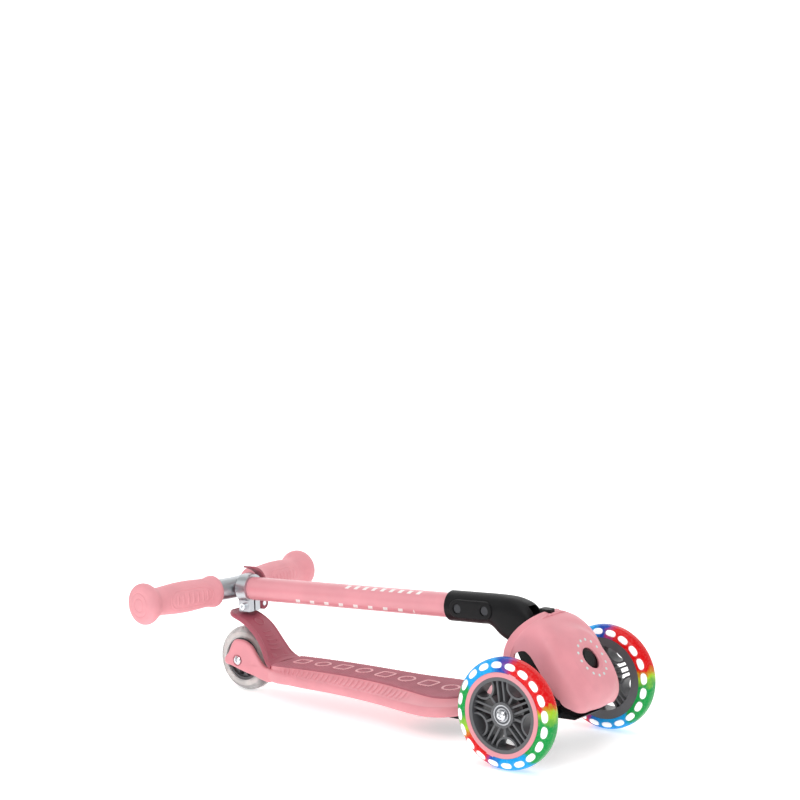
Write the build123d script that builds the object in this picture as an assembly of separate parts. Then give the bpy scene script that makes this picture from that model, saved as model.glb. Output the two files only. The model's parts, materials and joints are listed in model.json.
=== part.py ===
from build123d import *
from math import atan2, cos, degrees, hypot, pi, radians, sin, sqrt
import os

# Three-wheeled child's kick scooter, drawn folded, in millimetres.
# While it is drawn, +X is forward, +Y is the rider's left, +Z is up, and the origin is on the
# floor under the front axle. The last lines move it so that the origin is under the middle of
# its bounding box.

# Driving sizes
wheelbase = 452.5
track = 208.0
front_wheel_dia = 121.0
rear_wheel_dia = 80.0
wheel_width = 24.0
bar_half_width = 150.0
bar_sweep = 7.6            # degrees that each half of the bar leans back
stem_dia = 28.6
tube_wall = 1.5
deck_top = 44.0            # height of the deck's foot area under the mat
deck_bottom = 27.0
deck_half_width = 70.0     # at its wide front part
deck_waist = 51.0          # half width at its narrow middle
deck_front_gap = 102.0     # front axle to the deck's rounded front end
mat_thickness = 2.6
bar_travel = 100.0         # height adjustment of the bar
fold_angle = 84.0
steer_angle = 15.0
kingpin_rake = 20.0
lever_angle = 95.0
brake_angle = 3.0
button_travel = 3.0

# Clearances
running_fit = 0.06         # radial, between a pin or shaft and what turns on it
face_gap = 0.4             # between faces that move past each other
open_fit = 0.3             # radial, at the one pivot of the steering linkage with no joint

# Stock sizes
bearing_dia = 22.0
bearing_width = 7.0
bearing_bore = 8.0
axle_radius = bearing_bore / 2 - running_fit
pin_radius = 2.5

front_axle_z = front_wheel_dia / 2
rear_axle_z = rear_wheel_dia / 2
rear_x = -wheelbase
wheel_y = track / 2


def slab(points, y_low, y_high):
    """A closed outline in X and Z, carried along Y."""
    face = make_face(Polyline(*points, close=True))
    return extrude(Plane.XZ.offset(-y_high) * face, y_high - y_low)


def plate(points, z_low, z_high):
    """A closed outline in X and Y, carried along Z."""
    face = make_face(Polyline(*points, close=True))
    return extrude(Plane.XY.offset(z_low) * face, z_high - z_low)


def block(x_low, x_high, y_low, y_high, z_low, z_high):
    middle = ((x_low + x_high) / 2, (y_low + y_high) / 2, (z_low + z_high) / 2)
    return Location(middle) * Box(x_high - x_low, y_high - y_low, z_high - z_low)


def rod_x(y, z, radius, x_low, x_high):
    return Location(((x_low + x_high) / 2, y, z), (0, 90, 0)) * Cylinder(radius, x_high - x_low)


def rod_y(x, z, radius, y_low, y_high):
    return Location((x, (y_low + y_high) / 2, z), (90, 0, 0)) * Cylinder(radius, y_high - y_low)


def rod_z(x, y, radius, z_low, z_high):
    return Location((x, y, (z_low + z_high) / 2)) * Cylinder(radius, z_high - z_low)


def turned_y(x, z, profile):
    """A closed outline of (radius, y) points, turned about the line along Y at x, z."""
    return Location((x, 0, z)) * revolve(make_face(Polyline(*profile, close=True)), Axis.Y)


def coil(wire_radius, mean_radius, turns, pitch):
    """A spring standing on the XY plane about the Z axis."""
    path = Helix(pitch=pitch, height=pitch * turns, radius=mean_radius)
    section = Plane(origin=path @ 0, z_dir=path % 0) * Circle(wire_radius)
    return Pos(0, 0, wire_radius) * sweep(section, path=path, is_frenet=True)


def arc_points(centre, radius, start, end, count):
    """Points on an arc, with its angles in degrees from +X towards the second axis."""
    angles = [radians(start + (end - start) * step / (count - 1)) for step in range(count)]
    return [(centre[0] + radius * cos(a), centre[1] + radius * sin(a)) for a in angles]


def group(solids):
    """Separate solids that share one node."""
    return Compound(children=list(solids))


def mirrored(shape):
    copies = [mirror(solid, about=Plane.XZ) for solid in shape.solids()]
    return copies[0] if len(copies) == 1 else group(copies)


nodes = {}

# ---------------------------------------------------------------- deck and its rear fork
fork_inner = wheel_width / 2 + 3.5
fork_wall = 6.5
fork_outer = fork_inner + fork_wall
wheel_clear = 3.0          # between the rear wheel and what surrounds it
deck_rear = rear_x + rear_wheel_dia / 2 + wheel_clear + 3.0
deck_front = -deck_front_gap
deck_length = deck_front - deck_rear
skin = 4.0
rib_spacing = 32.0
cross_ribs = 6

front_radius = 42.0
half_outline = [
    (deck_rear, fork_outer + 2),
    (deck_rear + 0.08 * deck_length, fork_outer + 14),
    (deck_rear + 0.2 * deck_length, deck_waist - 5),
    (deck_rear + 0.35 * deck_length, deck_waist),
    (deck_rear + 0.5 * deck_length, deck_waist + 3),
    (deck_rear + 0.68 * deck_length, deck_half_width - 10),
    (deck_rear + 0.82 * deck_length, deck_half_width - 2),
]
front_arc = arc_points((deck_front - front_radius, deck_half_width - front_radius), front_radius, 90, 0, 8)
half_outline += front_arc
deck_outline = half_outline + [(x, -y) for x, y in reversed(half_outline)]

mat_inset = 23.0
mat_recess = 1.0
mat_rear = rear_x + rear_wheel_dia / 2 + 18.5
mat_half = [
    (mat_rear, fork_outer + 5),
    (mat_rear + 0.3 * deck_length, deck_waist - mat_inset),
    (mat_rear + 0.55 * deck_length, deck_waist - mat_inset + 2),
    (mat_rear + 0.75 * deck_length, deck_half_width - mat_inset - 6),
]
mat_radius = 30.0
mat_half += arc_points((deck_front - mat_radius - 14, deck_half_width - mat_inset - mat_radius),
                       mat_radius, 90, 0, 6)
mat_outline = mat_half + [(x, -y) for x, y in reversed(mat_half)]
bevel_drop = 6.0
bevel_run = 15.0

brake_pivot = (rear_x + rear_wheel_dia / 2 + 9.5, deck_top - 4.0)
arm_outline = [
    (rear_x - 6, rear_axle_z + 25), (rear_x + 10, rear_axle_z + 25),
    (rear_x + 20, rear_axle_z + 21), (rear_x + 28, rear_axle_z + 12),
    (rear_x + 40, deck_top), (deck_rear + 12, deck_top), (deck_rear + 12, deck_bottom),
    (rear_x + 43, deck_bottom - 5), (rear_x + 22, rear_axle_z - 16),
    (rear_x - 6, rear_axle_z - 11), (rear_x - 22, rear_axle_z - 4),
]


def deck():
    body = plate(deck_outline, deck_bottom, deck_top)
    rim = plate(deck_outline, deck_top - bevel_drop, deck_top)
    crown = loft([
        Plane.XY.offset(deck_top - bevel_drop) * make_face(Polyline(*deck_outline, close=True)),
        Plane.XY.offset(deck_top) * offset(make_face(Polyline(*deck_outline, close=True)),
                                           -bevel_run, kind=Kind.INTERSECTION),
    ])
    body = body - rim + crown
    hollow = offset(make_face(Polyline(*deck_outline, close=True)), -skin, kind=Kind.INTERSECTION)
    hollow_top = deck_top - bevel_drop - 1.5
    hollow = extrude(Plane.XY.offset(deck_bottom) * hollow, hollow_top - deck_bottom)
    hollow -= block(deck_rear, deck_rear + 22, -99, 99, 0, 99)
    for y in (-rib_spacing, 0, rib_spacing):
        hollow -= block(deck_rear, 0, y - 1.5, y + 1.5, 0, 99)
    for step in range(1, cross_ribs + 1):
        x = deck_rear + step / (cross_ribs + 1) * deck_length
        hollow -= block(x - 1.5, x + 1.5, -99, 99, 0, 99)
    for x, y in frame_screw_places:
        hollow -= rod_z(x, y, screw_boss_radius, 0, 99)
    body -= hollow
    for x, y in frame_screw_places:
        body -= rod_z(x, y, screw_radius, deck_bottom - 1, deck_bottom + screw_grip)
    for y in (fork_inner, -fork_outer):
        body += slab(arm_outline, y, y + fork_wall)
    body -= rod_y(rear_x, rear_axle_z, axle_radius, -fork_outer - 1, fork_outer + 1)
    for y in (fork_outer - 1.2, -fork_outer - 1):
        body -= rod_y(rear_x, rear_axle_z, axle_head_radius + 0.8, y, y + 2.2)
    body -= rod_y(*brake_pivot, pin_radius, -fork_outer - 1, fork_outer + 1)
    body -= block(rear_x, brake_pivot[0] + 6.5, -fork_inner, fork_inner, 0, 99)
    body -= plate(mat_outline, deck_top - mat_recess, deck_top + 1)
    return body


screw_radius = 2.0
screw_boss_radius = 5.0
screw_grip = 9.0
frame_screw_places = [(deck_front - 14 - 40 * row, side * 24) for row in (0, 1) for side in (-1, 1)]
axle_head_radius = 6.0

nodes["deck"] = deck()
nodes["deck_mat"] = plate(mat_outline, deck_top - mat_recess, deck_top - mat_recess + mat_thickness)

# ---------------------------------------------------------------- rear brake
shoe_radius = rear_wheel_dia / 2 + wheel_clear
shoe_thickness = 5.0
shoe_half_width = 22.0
tip_length = 28.0          # straight run off the wheel
tip_flat = 22.0            # flatter end that the foot presses
tip_slope = 8.0            # its slope in degrees
shoe_end = 60.0            # degrees round the wheel at which the shoe leaves it
shoe_start = 12.0


def round_wheel(radius, angle):
    return (rear_x + radius * cos(radians(angle)), rear_axle_z + radius * sin(radians(angle)))


def along_tip(radius, distance):
    """A point on the shoe's straight run, at the given distance from where it leaves the wheel."""
    x, z = round_wheel(radius, shoe_end)
    return (x - distance * sin(radians(shoe_end)), z + distance * cos(radians(shoe_end)))


def on_flat(radius, distance):
    """A point on the shoe's flatter end."""
    x, z = along_tip(radius, tip_length)
    return (x - distance * cos(radians(tip_slope)), z + distance * sin(radians(tip_slope)))


def pad_outline(inner, outer, start, end):
    """A band about the wheel."""
    centre = (rear_x, rear_axle_z)
    return arc_points(centre, inner, start, end, 9) + arc_points(centre, outer, end, start, 9)


def shoe_outline(inner, outer):
    """The band with its straight run and its flatter end."""
    band = pad_outline(inner, outer, shoe_start, shoe_end)
    end = [along_tip(inner, tip_length), on_flat(inner, tip_flat), on_flat(outer, tip_flat),
           along_tip(outer, tip_length)]
    return band[:9] + end + band[9:]


def rear_brake():
    outer = shoe_radius + shoe_thickness
    shoe = slab(shoe_outline(shoe_radius, outer), -shoe_half_width, shoe_half_width)
    tip_x, tip_z = on_flat(outer, tip_flat)
    round_x = tip_x + shoe_half_width
    trim = block(tip_x - 9, round_x, -40, 40, tip_z - 40, tip_z + 20)
    shoe -= trim - rod_z(round_x, 0, shoe_half_width, 0, 200)
    low = round_wheel(shoe_radius + 1, shoe_start)
    high = round_wheel(outer, shoe_start + 10)
    lug = [low, (low[0] + 1, brake_pivot[1] - 4.5), (brake_pivot[0] + 4, brake_pivot[1] - 4.5),
           (brake_pivot[0] + 5, brake_pivot[1] + 4), high]
    lug_half = fork_inner - face_gap
    shoe += slab(lug, -lug_half, lug_half)
    shoe -= block(rear_x, 0, -99, -lug_half, 0, deck_top + 3)
    shoe -= block(rear_x, 0, lug_half, 99, 0, deck_top + 3)
    shoe -= rod_y(*brake_pivot, pin_radius + running_fit, -99, 99)
    shoe -= block(low[0] - 2, brake_pivot[0] + 9, -brake_spring_half, brake_spring_half,
                  0, brake_pivot[1] + 6)
    shoe -= slab(pad_outline(shoe_radius - 1, shoe_radius + pad_thickness, pad_start, pad_end),
                 -pad_half_width, pad_half_width)
    for place in pad_rivet_places:
        shoe -= place * Cylinder(rivet_radius, 3 * shoe_thickness)
    return shoe


brake_spring_half = 6.5
pad_thickness = 1.5
pad_half_width = 11.0
pad_start = 28.0
pad_end = 58.0
rivet_radius = 1.6
pad_rivet_places = []
for angle in (34.0, 52.0):
    for side in (-6.5, 6.5):
        x, z = round_wheel(shoe_radius + pad_thickness, angle)
        pad_rivet_places.append(Location((x, side, z), (0, 90 - angle, 0)))

nodes["rear_brake"] = rear_brake()
pad = slab(pad_outline(shoe_radius, shoe_radius + pad_thickness, pad_start, pad_end),
           -pad_half_width, pad_half_width)
for place in pad_rivet_places:
    pad -= place * Cylinder(rivet_radius, 3 * pad_thickness)
nodes["brake_plate"] = pad
rivet_length = shoe_thickness - 0.5
nodes["brake_rivets"] = group([
    place * Pos(0, 0, rivet_length / 2 - pad_thickness) * Cylinder(rivet_radius, rivet_length)
    for place in pad_rivet_places])
nodes["brake_pin"] = rod_y(*brake_pivot, pin_radius, -fork_outer + 0.5, fork_outer - 0.5)
spring_wire = 0.7
nodes["brake_spring"] = Location((brake_pivot[0], -5, brake_pivot[1]), (-90, 0, 0)) * coil(
    spring_wire, pin_radius + running_fit + spring_wire + 0.4, 4.5, 2.0)

# ---------------------------------------------------------------- wheels
def tyre(x, y, z, radius, inner_radius):
    """A ring with a full, rounded tread."""
    width = wheel_width
    section = Pos((radius + inner_radius) / 2, 0) * Rectangle(radius - inner_radius, width)
    tread = section.vertices().sort_by(Axis.X)[-2:]
    section = fillet(tread, min(0.42 * width, 0.9 * (radius - inner_radius)))
    return Location((x, y, z)) * revolve(section, Axis.Y)


def ring_y(x, z, outer, inner, y_low, y_high):
    return rod_y(x, z, outer, y_low, y_high) - rod_y(x, z, inner, y_low - 1, y_high + 1)


def bearings(x, y, z, spread):
    """Two ball bearings, each a ring, with their outer faces the given distance apart."""
    pair = []
    for low in (y - spread / 2, y + spread / 2 - bearing_width):
        pair.append(ring_y(x, z, bearing_dia / 2, bearing_bore / 2, low, low + bearing_width))
    return group(pair)


bearing_spread = 20.0
rear_core_radius = rear_wheel_dia / 2 - 13.5
rear_hub_radius = bearing_dia / 2 + 3.0
hole_web = 4.2             # between neighbouring holes


def rear_core():
    half = wheel_width / 2 - 2
    core = ring_y(rear_x, rear_axle_z, rear_core_radius, bearing_dia / 2, -half, half)
    for side in (-1, 1):
        face = sorted((side * (half - 3), side * (half + 1)))
        core -= ring_y(rear_x, rear_axle_z, rear_core_radius - 3, rear_hub_radius, *face)
    hole_radius = (rear_core_radius - rear_hub_radius - 3) / 2 - 1.0
    circle = (rear_core_radius + rear_hub_radius - 3) / 2
    hole_count = int(2 * pi * circle / (2 * hole_radius + hole_web))
    for step in range(hole_count):
        angle = radians(360 * step / hole_count)
        x = rear_x + circle * cos(angle)
        z = rear_axle_z + circle * sin(angle)
        core -= rod_y(x, z, hole_radius, -20, 20)
    return core


nodes["rear_tyre"] = tyre(rear_x, 0, rear_axle_z, rear_wheel_dia / 2, rear_core_radius)
nodes["rear_core"] = rear_core()
nodes["rear_bearings"] = bearings(rear_x, 0, rear_axle_z, bearing_spread)
between_bearings = bearing_spread / 2 - bearing_width
spacers = [ring_y(rear_x, rear_axle_z, 6.0, axle_radius, -between_bearings + face_gap,
                  between_bearings - face_gap)]
for side in (-1, 1):
    span = sorted((side * (bearing_spread / 2 + face_gap), side * fork_inner))
    spacers.append(ring_y(rear_x, rear_axle_z, 6.0, axle_radius, *span))
nodes["rear_spacers"] = group(spacers)
head_face = fork_outer - 1.2
dome = [(0, 0), (axle_head_radius, 0), (axle_head_radius - 0.5, 2.2), (axle_head_radius - 2, 3.6), (0, 4.4)]
nodes["rear_axle"] = (
    rod_y(rear_x, rear_axle_z, axle_radius, -head_face, fork_inner)
    + turned_y(rear_x, rear_axle_z, [(r, -head_face - d) for r, d in dome])
    - rod_y(rear_x, rear_axle_z, 2.0, -head_face - 6, -head_face - 2))
nodes["rear_axle_nut"] = (
    rod_y(rear_x, rear_axle_z, axle_radius, fork_inner, head_face)
    + turned_y(rear_x, rear_axle_z, [(r, head_face + d) for r, d in dome])
    - rod_y(rear_x, rear_axle_z, 2.0, head_face + 2, head_face + 6))

# The right front wheel; the left one is its mirror image.
core_radius = front_wheel_dia / 2 - 13.4
rim_inner = core_radius - 10.0
ring_outer = core_radius - 1.0
ring_inner = core_radius - 6.0
ring_thickness = 2.6
hub_radius = bearing_dia / 2 + 3.0
half_width = wheel_width / 2
spoke_phase = 97.7
fold_count = 5
cup_radius = 13.0
bar_count = 20
bar_long = 11.5
bar_deep = 7.0
bar_circle = front_wheel_dia / 2 - 6.7


def front_core():
    """Rim, hub, five pairs of straight spokes, and five cups held by short spokes."""
    core = ring_y(0, 0, core_radius, rim_inner, -half_width + 0.5, half_width - 0.2)
    core += ring_y(0, 0, hub_radius, bearing_dia / 2, -bearing_spread / 2 - 0.5, bearing_spread / 2 + 0.5)
    depth = half_width - 4
    rim = rod_y(0, 0, rim_inner + 1, -depth, depth)
    cups = None
    for step in range(fold_count):
        long_angle = spoke_phase + 360 / fold_count * step
        for shift in (-3.4, 3.4):
            spoke = block(hub_radius - 1, rim_inner + 1, -depth, depth, shift - 1.1, shift + 1.1)
            core += Rot(0, -long_angle, 0) * spoke
        short_angle = long_angle + 180 / fold_count
        reach = rim_inner - cup_radius
        turn = Rot(0, -short_angle, 0)
        core += turn * block(hub_radius - 1, reach + 1, -depth, depth, -1.3, 1.3)
        cup = turn * ring_y(rim_inner, 0, cup_radius + 1, cup_radius - 1.2, -depth, depth)
        cups = cup if cups is None else cups + cup
    core += cups & rim
    return core


def light_bars():
    """Clear light windows set all round the tyre, right through it."""
    bars = []
    half = half_width - 2.0
    for step in range(bar_count):
        bar = block(bar_circle - bar_deep / 2, bar_circle + bar_deep / 2, -half, half,
                    -bar_long / 2, bar_long / 2)
        edges = bar.edges().filter_by(Axis.Y)
        bar = fillet(edges, 0.45 * bar_deep)
        bars.append(Rot(0, -(360 / bar_count) * step, 0) * bar)
    return group(bars)


# The outer face of the wheel is at positive y in its own frame.
bars = light_bars()
front_tyre = tyre(0, 0, 0, front_wheel_dia / 2, core_radius)
for bar in bars.solids():
    front_tyre -= bar
trim_ring = ring_y(0, 0, ring_outer, ring_inner, half_width - ring_thickness, half_width + 0.2)
for angle in (spoke_phase - 25, spoke_phase + 155):
    tab = block(ring_outer - 1, ring_outer + 0.9,
                half_width - ring_thickness + 1.0, half_width + 0.2, -4.5, 4.5)
    trim_ring += Rot(0, -angle, 0) * tab
kingpin_y = 68.0
kingpin_radius = 4.0
axle_end = kingpin_y + kingpin_radius + 1.5
front_tyre -= trim_ring
magnet_core = ring_y(0, 0, 7.5, axle_radius, -between_bearings + face_gap, between_bearings - face_gap)
bolt_head_face = bearing_spread / 2 + face_gap
front_axle_bolt = (
    rod_y(0, 0, axle_radius, axle_end - wheel_y, bolt_head_face)
    + turned_y(0, 0, [(r, bolt_head_face + d) for r, d in dome])
    - rod_y(0, 0, 2.2, bolt_head_face + 2, bolt_head_face + 6))
wheel_pieces = {
    "front_core": front_core() - trim_ring,
    "front_tyre": front_tyre,
    "light_bars": bars,
    "trim_ring": trim_ring,
    "front_bearings": bearings(0, 0, 0, bearing_spread),
    "magnet_core": magnet_core,
    "front_axle": front_axle_bolt,
}
for name, piece in wheel_pieces.items():
    left = Location((0, wheel_y, front_axle_z)) * piece
    nodes[name + "_left"] = left
    nodes[name + "_right"] = mirrored(left)

# ---------------------------------------------------------------- steering
barrel_radius = 9.0
barrel_half = 13.0
ear_thickness = 5.5
ear_half = 11.0
arm_length = 26.0
arm_half_thickness = 3.0
link_thickness = 5.5
link_half = 4.5
frame_half = 24.0
to_kingpin = Location((0, kingpin_y, front_axle_z), (0, -kingpin_rake, 0))
link_top = -arm_half_thickness - face_gap
link_bottom = link_top - link_thickness
wheel_inner_face = wheel_y - half_width


def knuckle(pivot_clearance):
    """Left knuckle: a barrel on the kingpin, the axle boss and the steering arm."""
    body = rod_z(0, 0, barrel_radius, -barrel_half, barrel_half)
    body += block(0, arm_length, -5.5, 5.5, -arm_half_thickness, arm_half_thickness)
    body += rod_z(arm_length, 0, 5.5, -arm_half_thickness, arm_half_thickness)
    body = to_kingpin * body
    body += rod_y(0, front_axle_z, 8.5, kingpin_y, wheel_inner_face - 1)
    body += rod_y(0, front_axle_z, 6.0, kingpin_y, wheel_y - bearing_spread / 2 - face_gap)
    body -= to_kingpin * rod_z(0, 0, kingpin_radius + running_fit, -99, 99)
    body -= to_kingpin * rod_z(arm_length, 0, pin_radius + pivot_clearance, -9, 9)
    body -= rod_y(0, front_axle_z, axle_radius, axle_end, 200)
    return body


nodes["knuckle_left"] = knuckle(open_fit)
nodes["knuckle_right"] = mirrored(knuckle(running_fit))
ear_face = barrel_half + ear_thickness      # from the axle to an ear's outer face, before its gap
kingpin = rod_z(0, 0, kingpin_radius, -ear_face - 3, ear_face + 8)
kingpin += rod_z(0, 0, 6.5, -ear_face - 4, -ear_face - face_gap)
kingpin = to_kingpin * kingpin
nodes["kingpins"] = group([kingpin, mirrored(kingpin)])
centring_spring = to_kingpin * Pos(0, 0, ear_face + face_gap + 0.2) * coil(0.8, 5.4, 3, 2.0)
nodes["centring_springs"] = group([centring_spring, mirrored(centring_spring)])

# Steering lock: its button looks forward and up, and its tongue aims at a tab on the tie rod.
button_tilt = 29.0
button_face = (39.0, front_axle_z + 45.6)
button_radius = 12.3
tongue_radius = 4.0
to_button = Location((button_face[0], 0, button_face[1]), (0, 90 - button_tilt, 0))
tab_half_thickness = 1.6
link_x, link_z = arm_length, (link_top + link_bottom) / 2
rake = radians(kingpin_rake)
link_place = (link_x * cos(rake) - link_z * sin(rake),
              front_axle_z + link_x * sin(rake) + link_z * cos(rake))
tilt = radians(button_tilt)
link_to_button = (button_face[0] - link_place[0], button_face[1] - link_place[1])
tab_depth = link_to_button[0] * cos(tilt) + link_to_button[1] * sin(tilt)
tab_reach = hypot(*link_to_button)
tab_foot = sqrt(tab_reach ** 2 - tab_depth ** 2)


def tie_rod():
    """A flat link between the two arms, with a tab that the lock's tongue can hold."""
    link = to_kingpin * Pos(0, -kingpin_y, 0) * block(
        arm_length - link_half, arm_length + link_half, -kingpin_y - 5, kingpin_y + 5, link_bottom, link_top)
    tab = to_button * block(-8, tab_foot + 1, -11, 11, -tab_depth - tab_half_thickness,
                            -tab_depth + tab_half_thickness)
    tab -= to_button * rod_z(0, 0, tongue_radius + 0.3, -tab_depth - 9, -tab_depth + 9)
    link += tab
    for side in (-1, 1):
        place = to_kingpin * Pos(0, -kingpin_y + side * kingpin_y, 0)
        link -= place * rod_z(arm_length, 0, pin_radius, -20, 20)
    return link


nodes["tie_rod"] = tie_rod()
link_pins = []
for side in (-1, 1):
    pin = rod_z(arm_length, 0, pin_radius, link_bottom - 1, arm_half_thickness + 1.5)
    pin += rod_z(arm_length, 0, 4.2, link_bottom - 2.5, link_bottom)
    link_pins.append(to_kingpin * Pos(0, -kingpin_y + side * kingpin_y, 0) * pin)
nodes["tie_rod_pins"] = group(link_pins)

button_thickness = 7.0
tongue_end = tab_depth - tab_half_thickness - button_travel - 0.6
housing_depth = button_thickness + button_travel + 5.5
lock_button = rod_z(0, 0, button_radius, -button_thickness, -1.5)
lock_button += Pos(0, 0, -1.5) * Cone(button_radius, button_radius - 3.5, 1.5,
                                      align=(Align.CENTER, Align.CENTER, Align.MIN))
lock_button += rod_z(0, 0, tongue_radius, -tongue_end, -button_thickness + 1)
nodes["lock_button"] = to_button * lock_button
housing_wall = 2.0
housing_inner = button_radius + face_gap
housing = (rod_z(0, 0, housing_inner + housing_wall, -housing_depth, -2.0)
           - rod_z(0, 0, housing_inner, -housing_depth + 2.0, 1)
           - rod_z(0, 0, tongue_radius + running_fit, -99, 99))
nodes["lock_housing"] = to_button * housing
nodes["lock_spring"] = to_button * Pos(0, 0, -housing_depth + 2.0) * coil(0.5, 6.0, 2, 1.2)

# ---------------------------------------------------------------- outline of the nose cover
cover_half = 52.0
cover_wall = 3.0
leg_front = -33.0
cover_screw = (leg_front - 5, front_axle_z + 3)
cover_corner = 26.0        # radius of its front corners, seen from above
# Its outlines, with their heights from the front axle.
cover_side = [(-14, 91.5), (16, 75), (39, 46.5), (52, 22), (54, 9), (50, -6), (44, -15)]
cover_rear = [(-44, -15), (-44, 46), (-35, 66), (-25, 82)]
cover_top = [(-cover_half + 4, -16), (-cover_half, 20), (-cover_half + 1, 46),
             (-cover_half + 9, 68), (-cover_half + 21, 84), (-16, 92)]
cover_plan = [(-70, cover_half)]
cover_plan += arc_points((20, cover_half - cover_corner), cover_corner, 90, 35, 5)
cover_plan += [(56, 12)]


def cover_solid(inset):
    """The cover's outer shape, or its inner one, where a side, a front and a top outline meet."""
    side = make_face(Polyline(*[(x, front_axle_z + h) for x, h in cover_side + cover_rear], close=True))
    front_half = [(y, front_axle_z + h) for y, h in cover_top]
    front = make_face(Polyline(*(front_half + [(-y, h) for y, h in reversed(front_half)]), close=True))
    plan = make_face(Polyline(*(cover_plan + [(x, -y) for x, y in reversed(cover_plan)]), close=True))
    if inset:
        side, front, plan = (offset(face, -inset, kind=Kind.INTERSECTION) for face in (side, front, plan))
    solid = extrude(Plane.XZ.offset(-99) * side, 198)
    solid = solid & extrude(Plane(origin=(-99, 0, 0), x_dir=(0, 1, 0), z_dir=(1, 0, 0)) * front, 198)
    return solid & extrude(plan, 300)


# ---------------------------------------------------------------- front frame and fold hinge
pivot = (-55.0, front_axle_z + 73.5)
tongue_half = 7.0
tongue_round = 13.0
tongue_thickness = 11.0    # half of it, across the tongue
tongue_dir = -59.0
fold_pin_radius = 4.0
plate_top = deck_bottom - 0.2
plate_bottom = plate_top - 4.3


def turned_point(centre, angle, along, across):
    a = radians(angle)
    return (centre[0] + along * cos(a) - across * sin(a), centre[1] + along * sin(a) + across * cos(a))


def front_frame():
    """A spine that bolts under the deck, carries the kingpins and rises to the fold hinge."""
    z = front_axle_z
    spine = [
        (deck_front - 80, plate_bottom), (deck_front + 16, plate_bottom), (-60, z - 32), (-8, z - 24),
        (6, z - 20), (35, z - 19), (38, z - 16.5), (22, z - 13), (12, z - 6), (8, z + 18), (-14, z + 24),
        (-44, z + 24), (-66, z + 2), (deck_front + 8, plate_top + 6), (deck_front + 2, plate_top),
        (deck_front - 80, plate_top),
    ]
    body = slab(spine, -frame_half, frame_half)
    body += block(deck_front - 80, deck_front - 4, -36, 36, plate_bottom, plate_top)
    stalk = [turned_point(pivot, tongue_dir, 0, tongue_thickness),
             turned_point(pivot, tongue_dir, 0, -tongue_thickness),
             turned_point(pivot, tongue_dir, 70, -tongue_thickness - 4),
             turned_point(pivot, tongue_dir, 70, tongue_thickness + 4)]
    body += slab(stalk, -tongue_half, tongue_half)
    body += rod_y(*pivot, tongue_round, -tongue_half, tongue_half)
    for side in (-1, 1):
        place = to_kingpin * Pos(0, -kingpin_y + side * kingpin_y, 0)
        for low in (barrel_half + face_gap, -barrel_half - face_gap - ear_thickness):
            y_inner, y_outer = sorted((side * (frame_half - 4 - kingpin_y), side * 0.1))
            ear = block(-ear_half, ear_half, y_inner, y_outer, low, low + ear_thickness)
            ear += rod_z(0, 0, ear_half, low, low + ear_thickness)
            body += place * ear
        body -= place * rod_z(0, 0, kingpin_radius, -99, 99)
    body -= rod_y(*pivot, fold_pin_radius + running_fit, -99, 99)
    wing_half = cover_half - cover_wall
    wings = block(leg_front - 9, leg_front - 1, -wing_half, wing_half, z - 6, z + 12)
    body += wings & cover_solid(cover_wall)
    for side in (-1, 1):
        body -= rod_y(*cover_screw, screw_radius, *sorted((side * (wing_half - 14), side * 60)))
    for x, y in frame_screw_places:
        body -= rod_z(x, y, screw_radius, 0, plate_top + 1)
        body -= rod_z(x, y, screw_radius + 2.0, 0, plate_bottom + 2.0)
    return body


nodes["front_frame"] = front_frame()
screws = []
for x, y in frame_screw_places:
    screws.append(rod_z(x, y, screw_radius, plate_bottom, deck_bottom + screw_grip - 0.5)
                  + rod_z(x, y, screw_radius + 1.9, plate_bottom, plate_bottom + 2.0))
nodes["frame_screws"] = group(screws)

# ---------------------------------------------------------------- stem: its own frame lies along the tube
axis_above_pivot = 13.0
lug_depth = stem_dia / 2 + 13.7
collar_x = rear_x
brake_top = on_flat(shoe_radius + shoe_thickness, tip_flat)[1]
rest_gap = 0.5
stem_rest_z = brake_top + rest_gap + lug_depth
rest_point = (collar_x - pivot[0], stem_rest_z - pivot[1])
stem_run = sqrt(hypot(*rest_point) ** 2 - axis_above_pivot ** 2)
stem_tilt = atan2(-rest_point[1], -rest_point[0]) - atan2(-axis_above_pivot, stem_run)
to_stem = Location((pivot[0], 0, pivot[1]), (0, -degrees(stem_tilt), 0)) * Pos(0, 0, axis_above_pivot)

stem_radius = stem_dia / 2
socket_radius = stem_radius + 3.2
socket_start = -89.0       # the mouth of the socket, from the pivot
tube_front = -24.0         # the tube's end inside the socket
lug_half_length = 8.5
collar_rear = -stem_run - 7.0
collar_front = collar_rear + 15.0
tube_rear = collar_rear + 1.0
inner_radius = stem_radius - tube_wall - running_fit
bar_radius = 11.1
cross_radius = bar_radius + 2.1
cross_x = collar_rear - 1.0 - cross_radius
insert_length = bar_travel + 60.0


def tube_x(outer, inner, x_low, x_high):
    return rod_x(0, 0, outer, x_low, x_high) - rod_x(0, 0, inner, x_low - 1, x_high + 1)


knuckle_radius = 29.5
slot_half = tongue_half + face_gap


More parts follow.
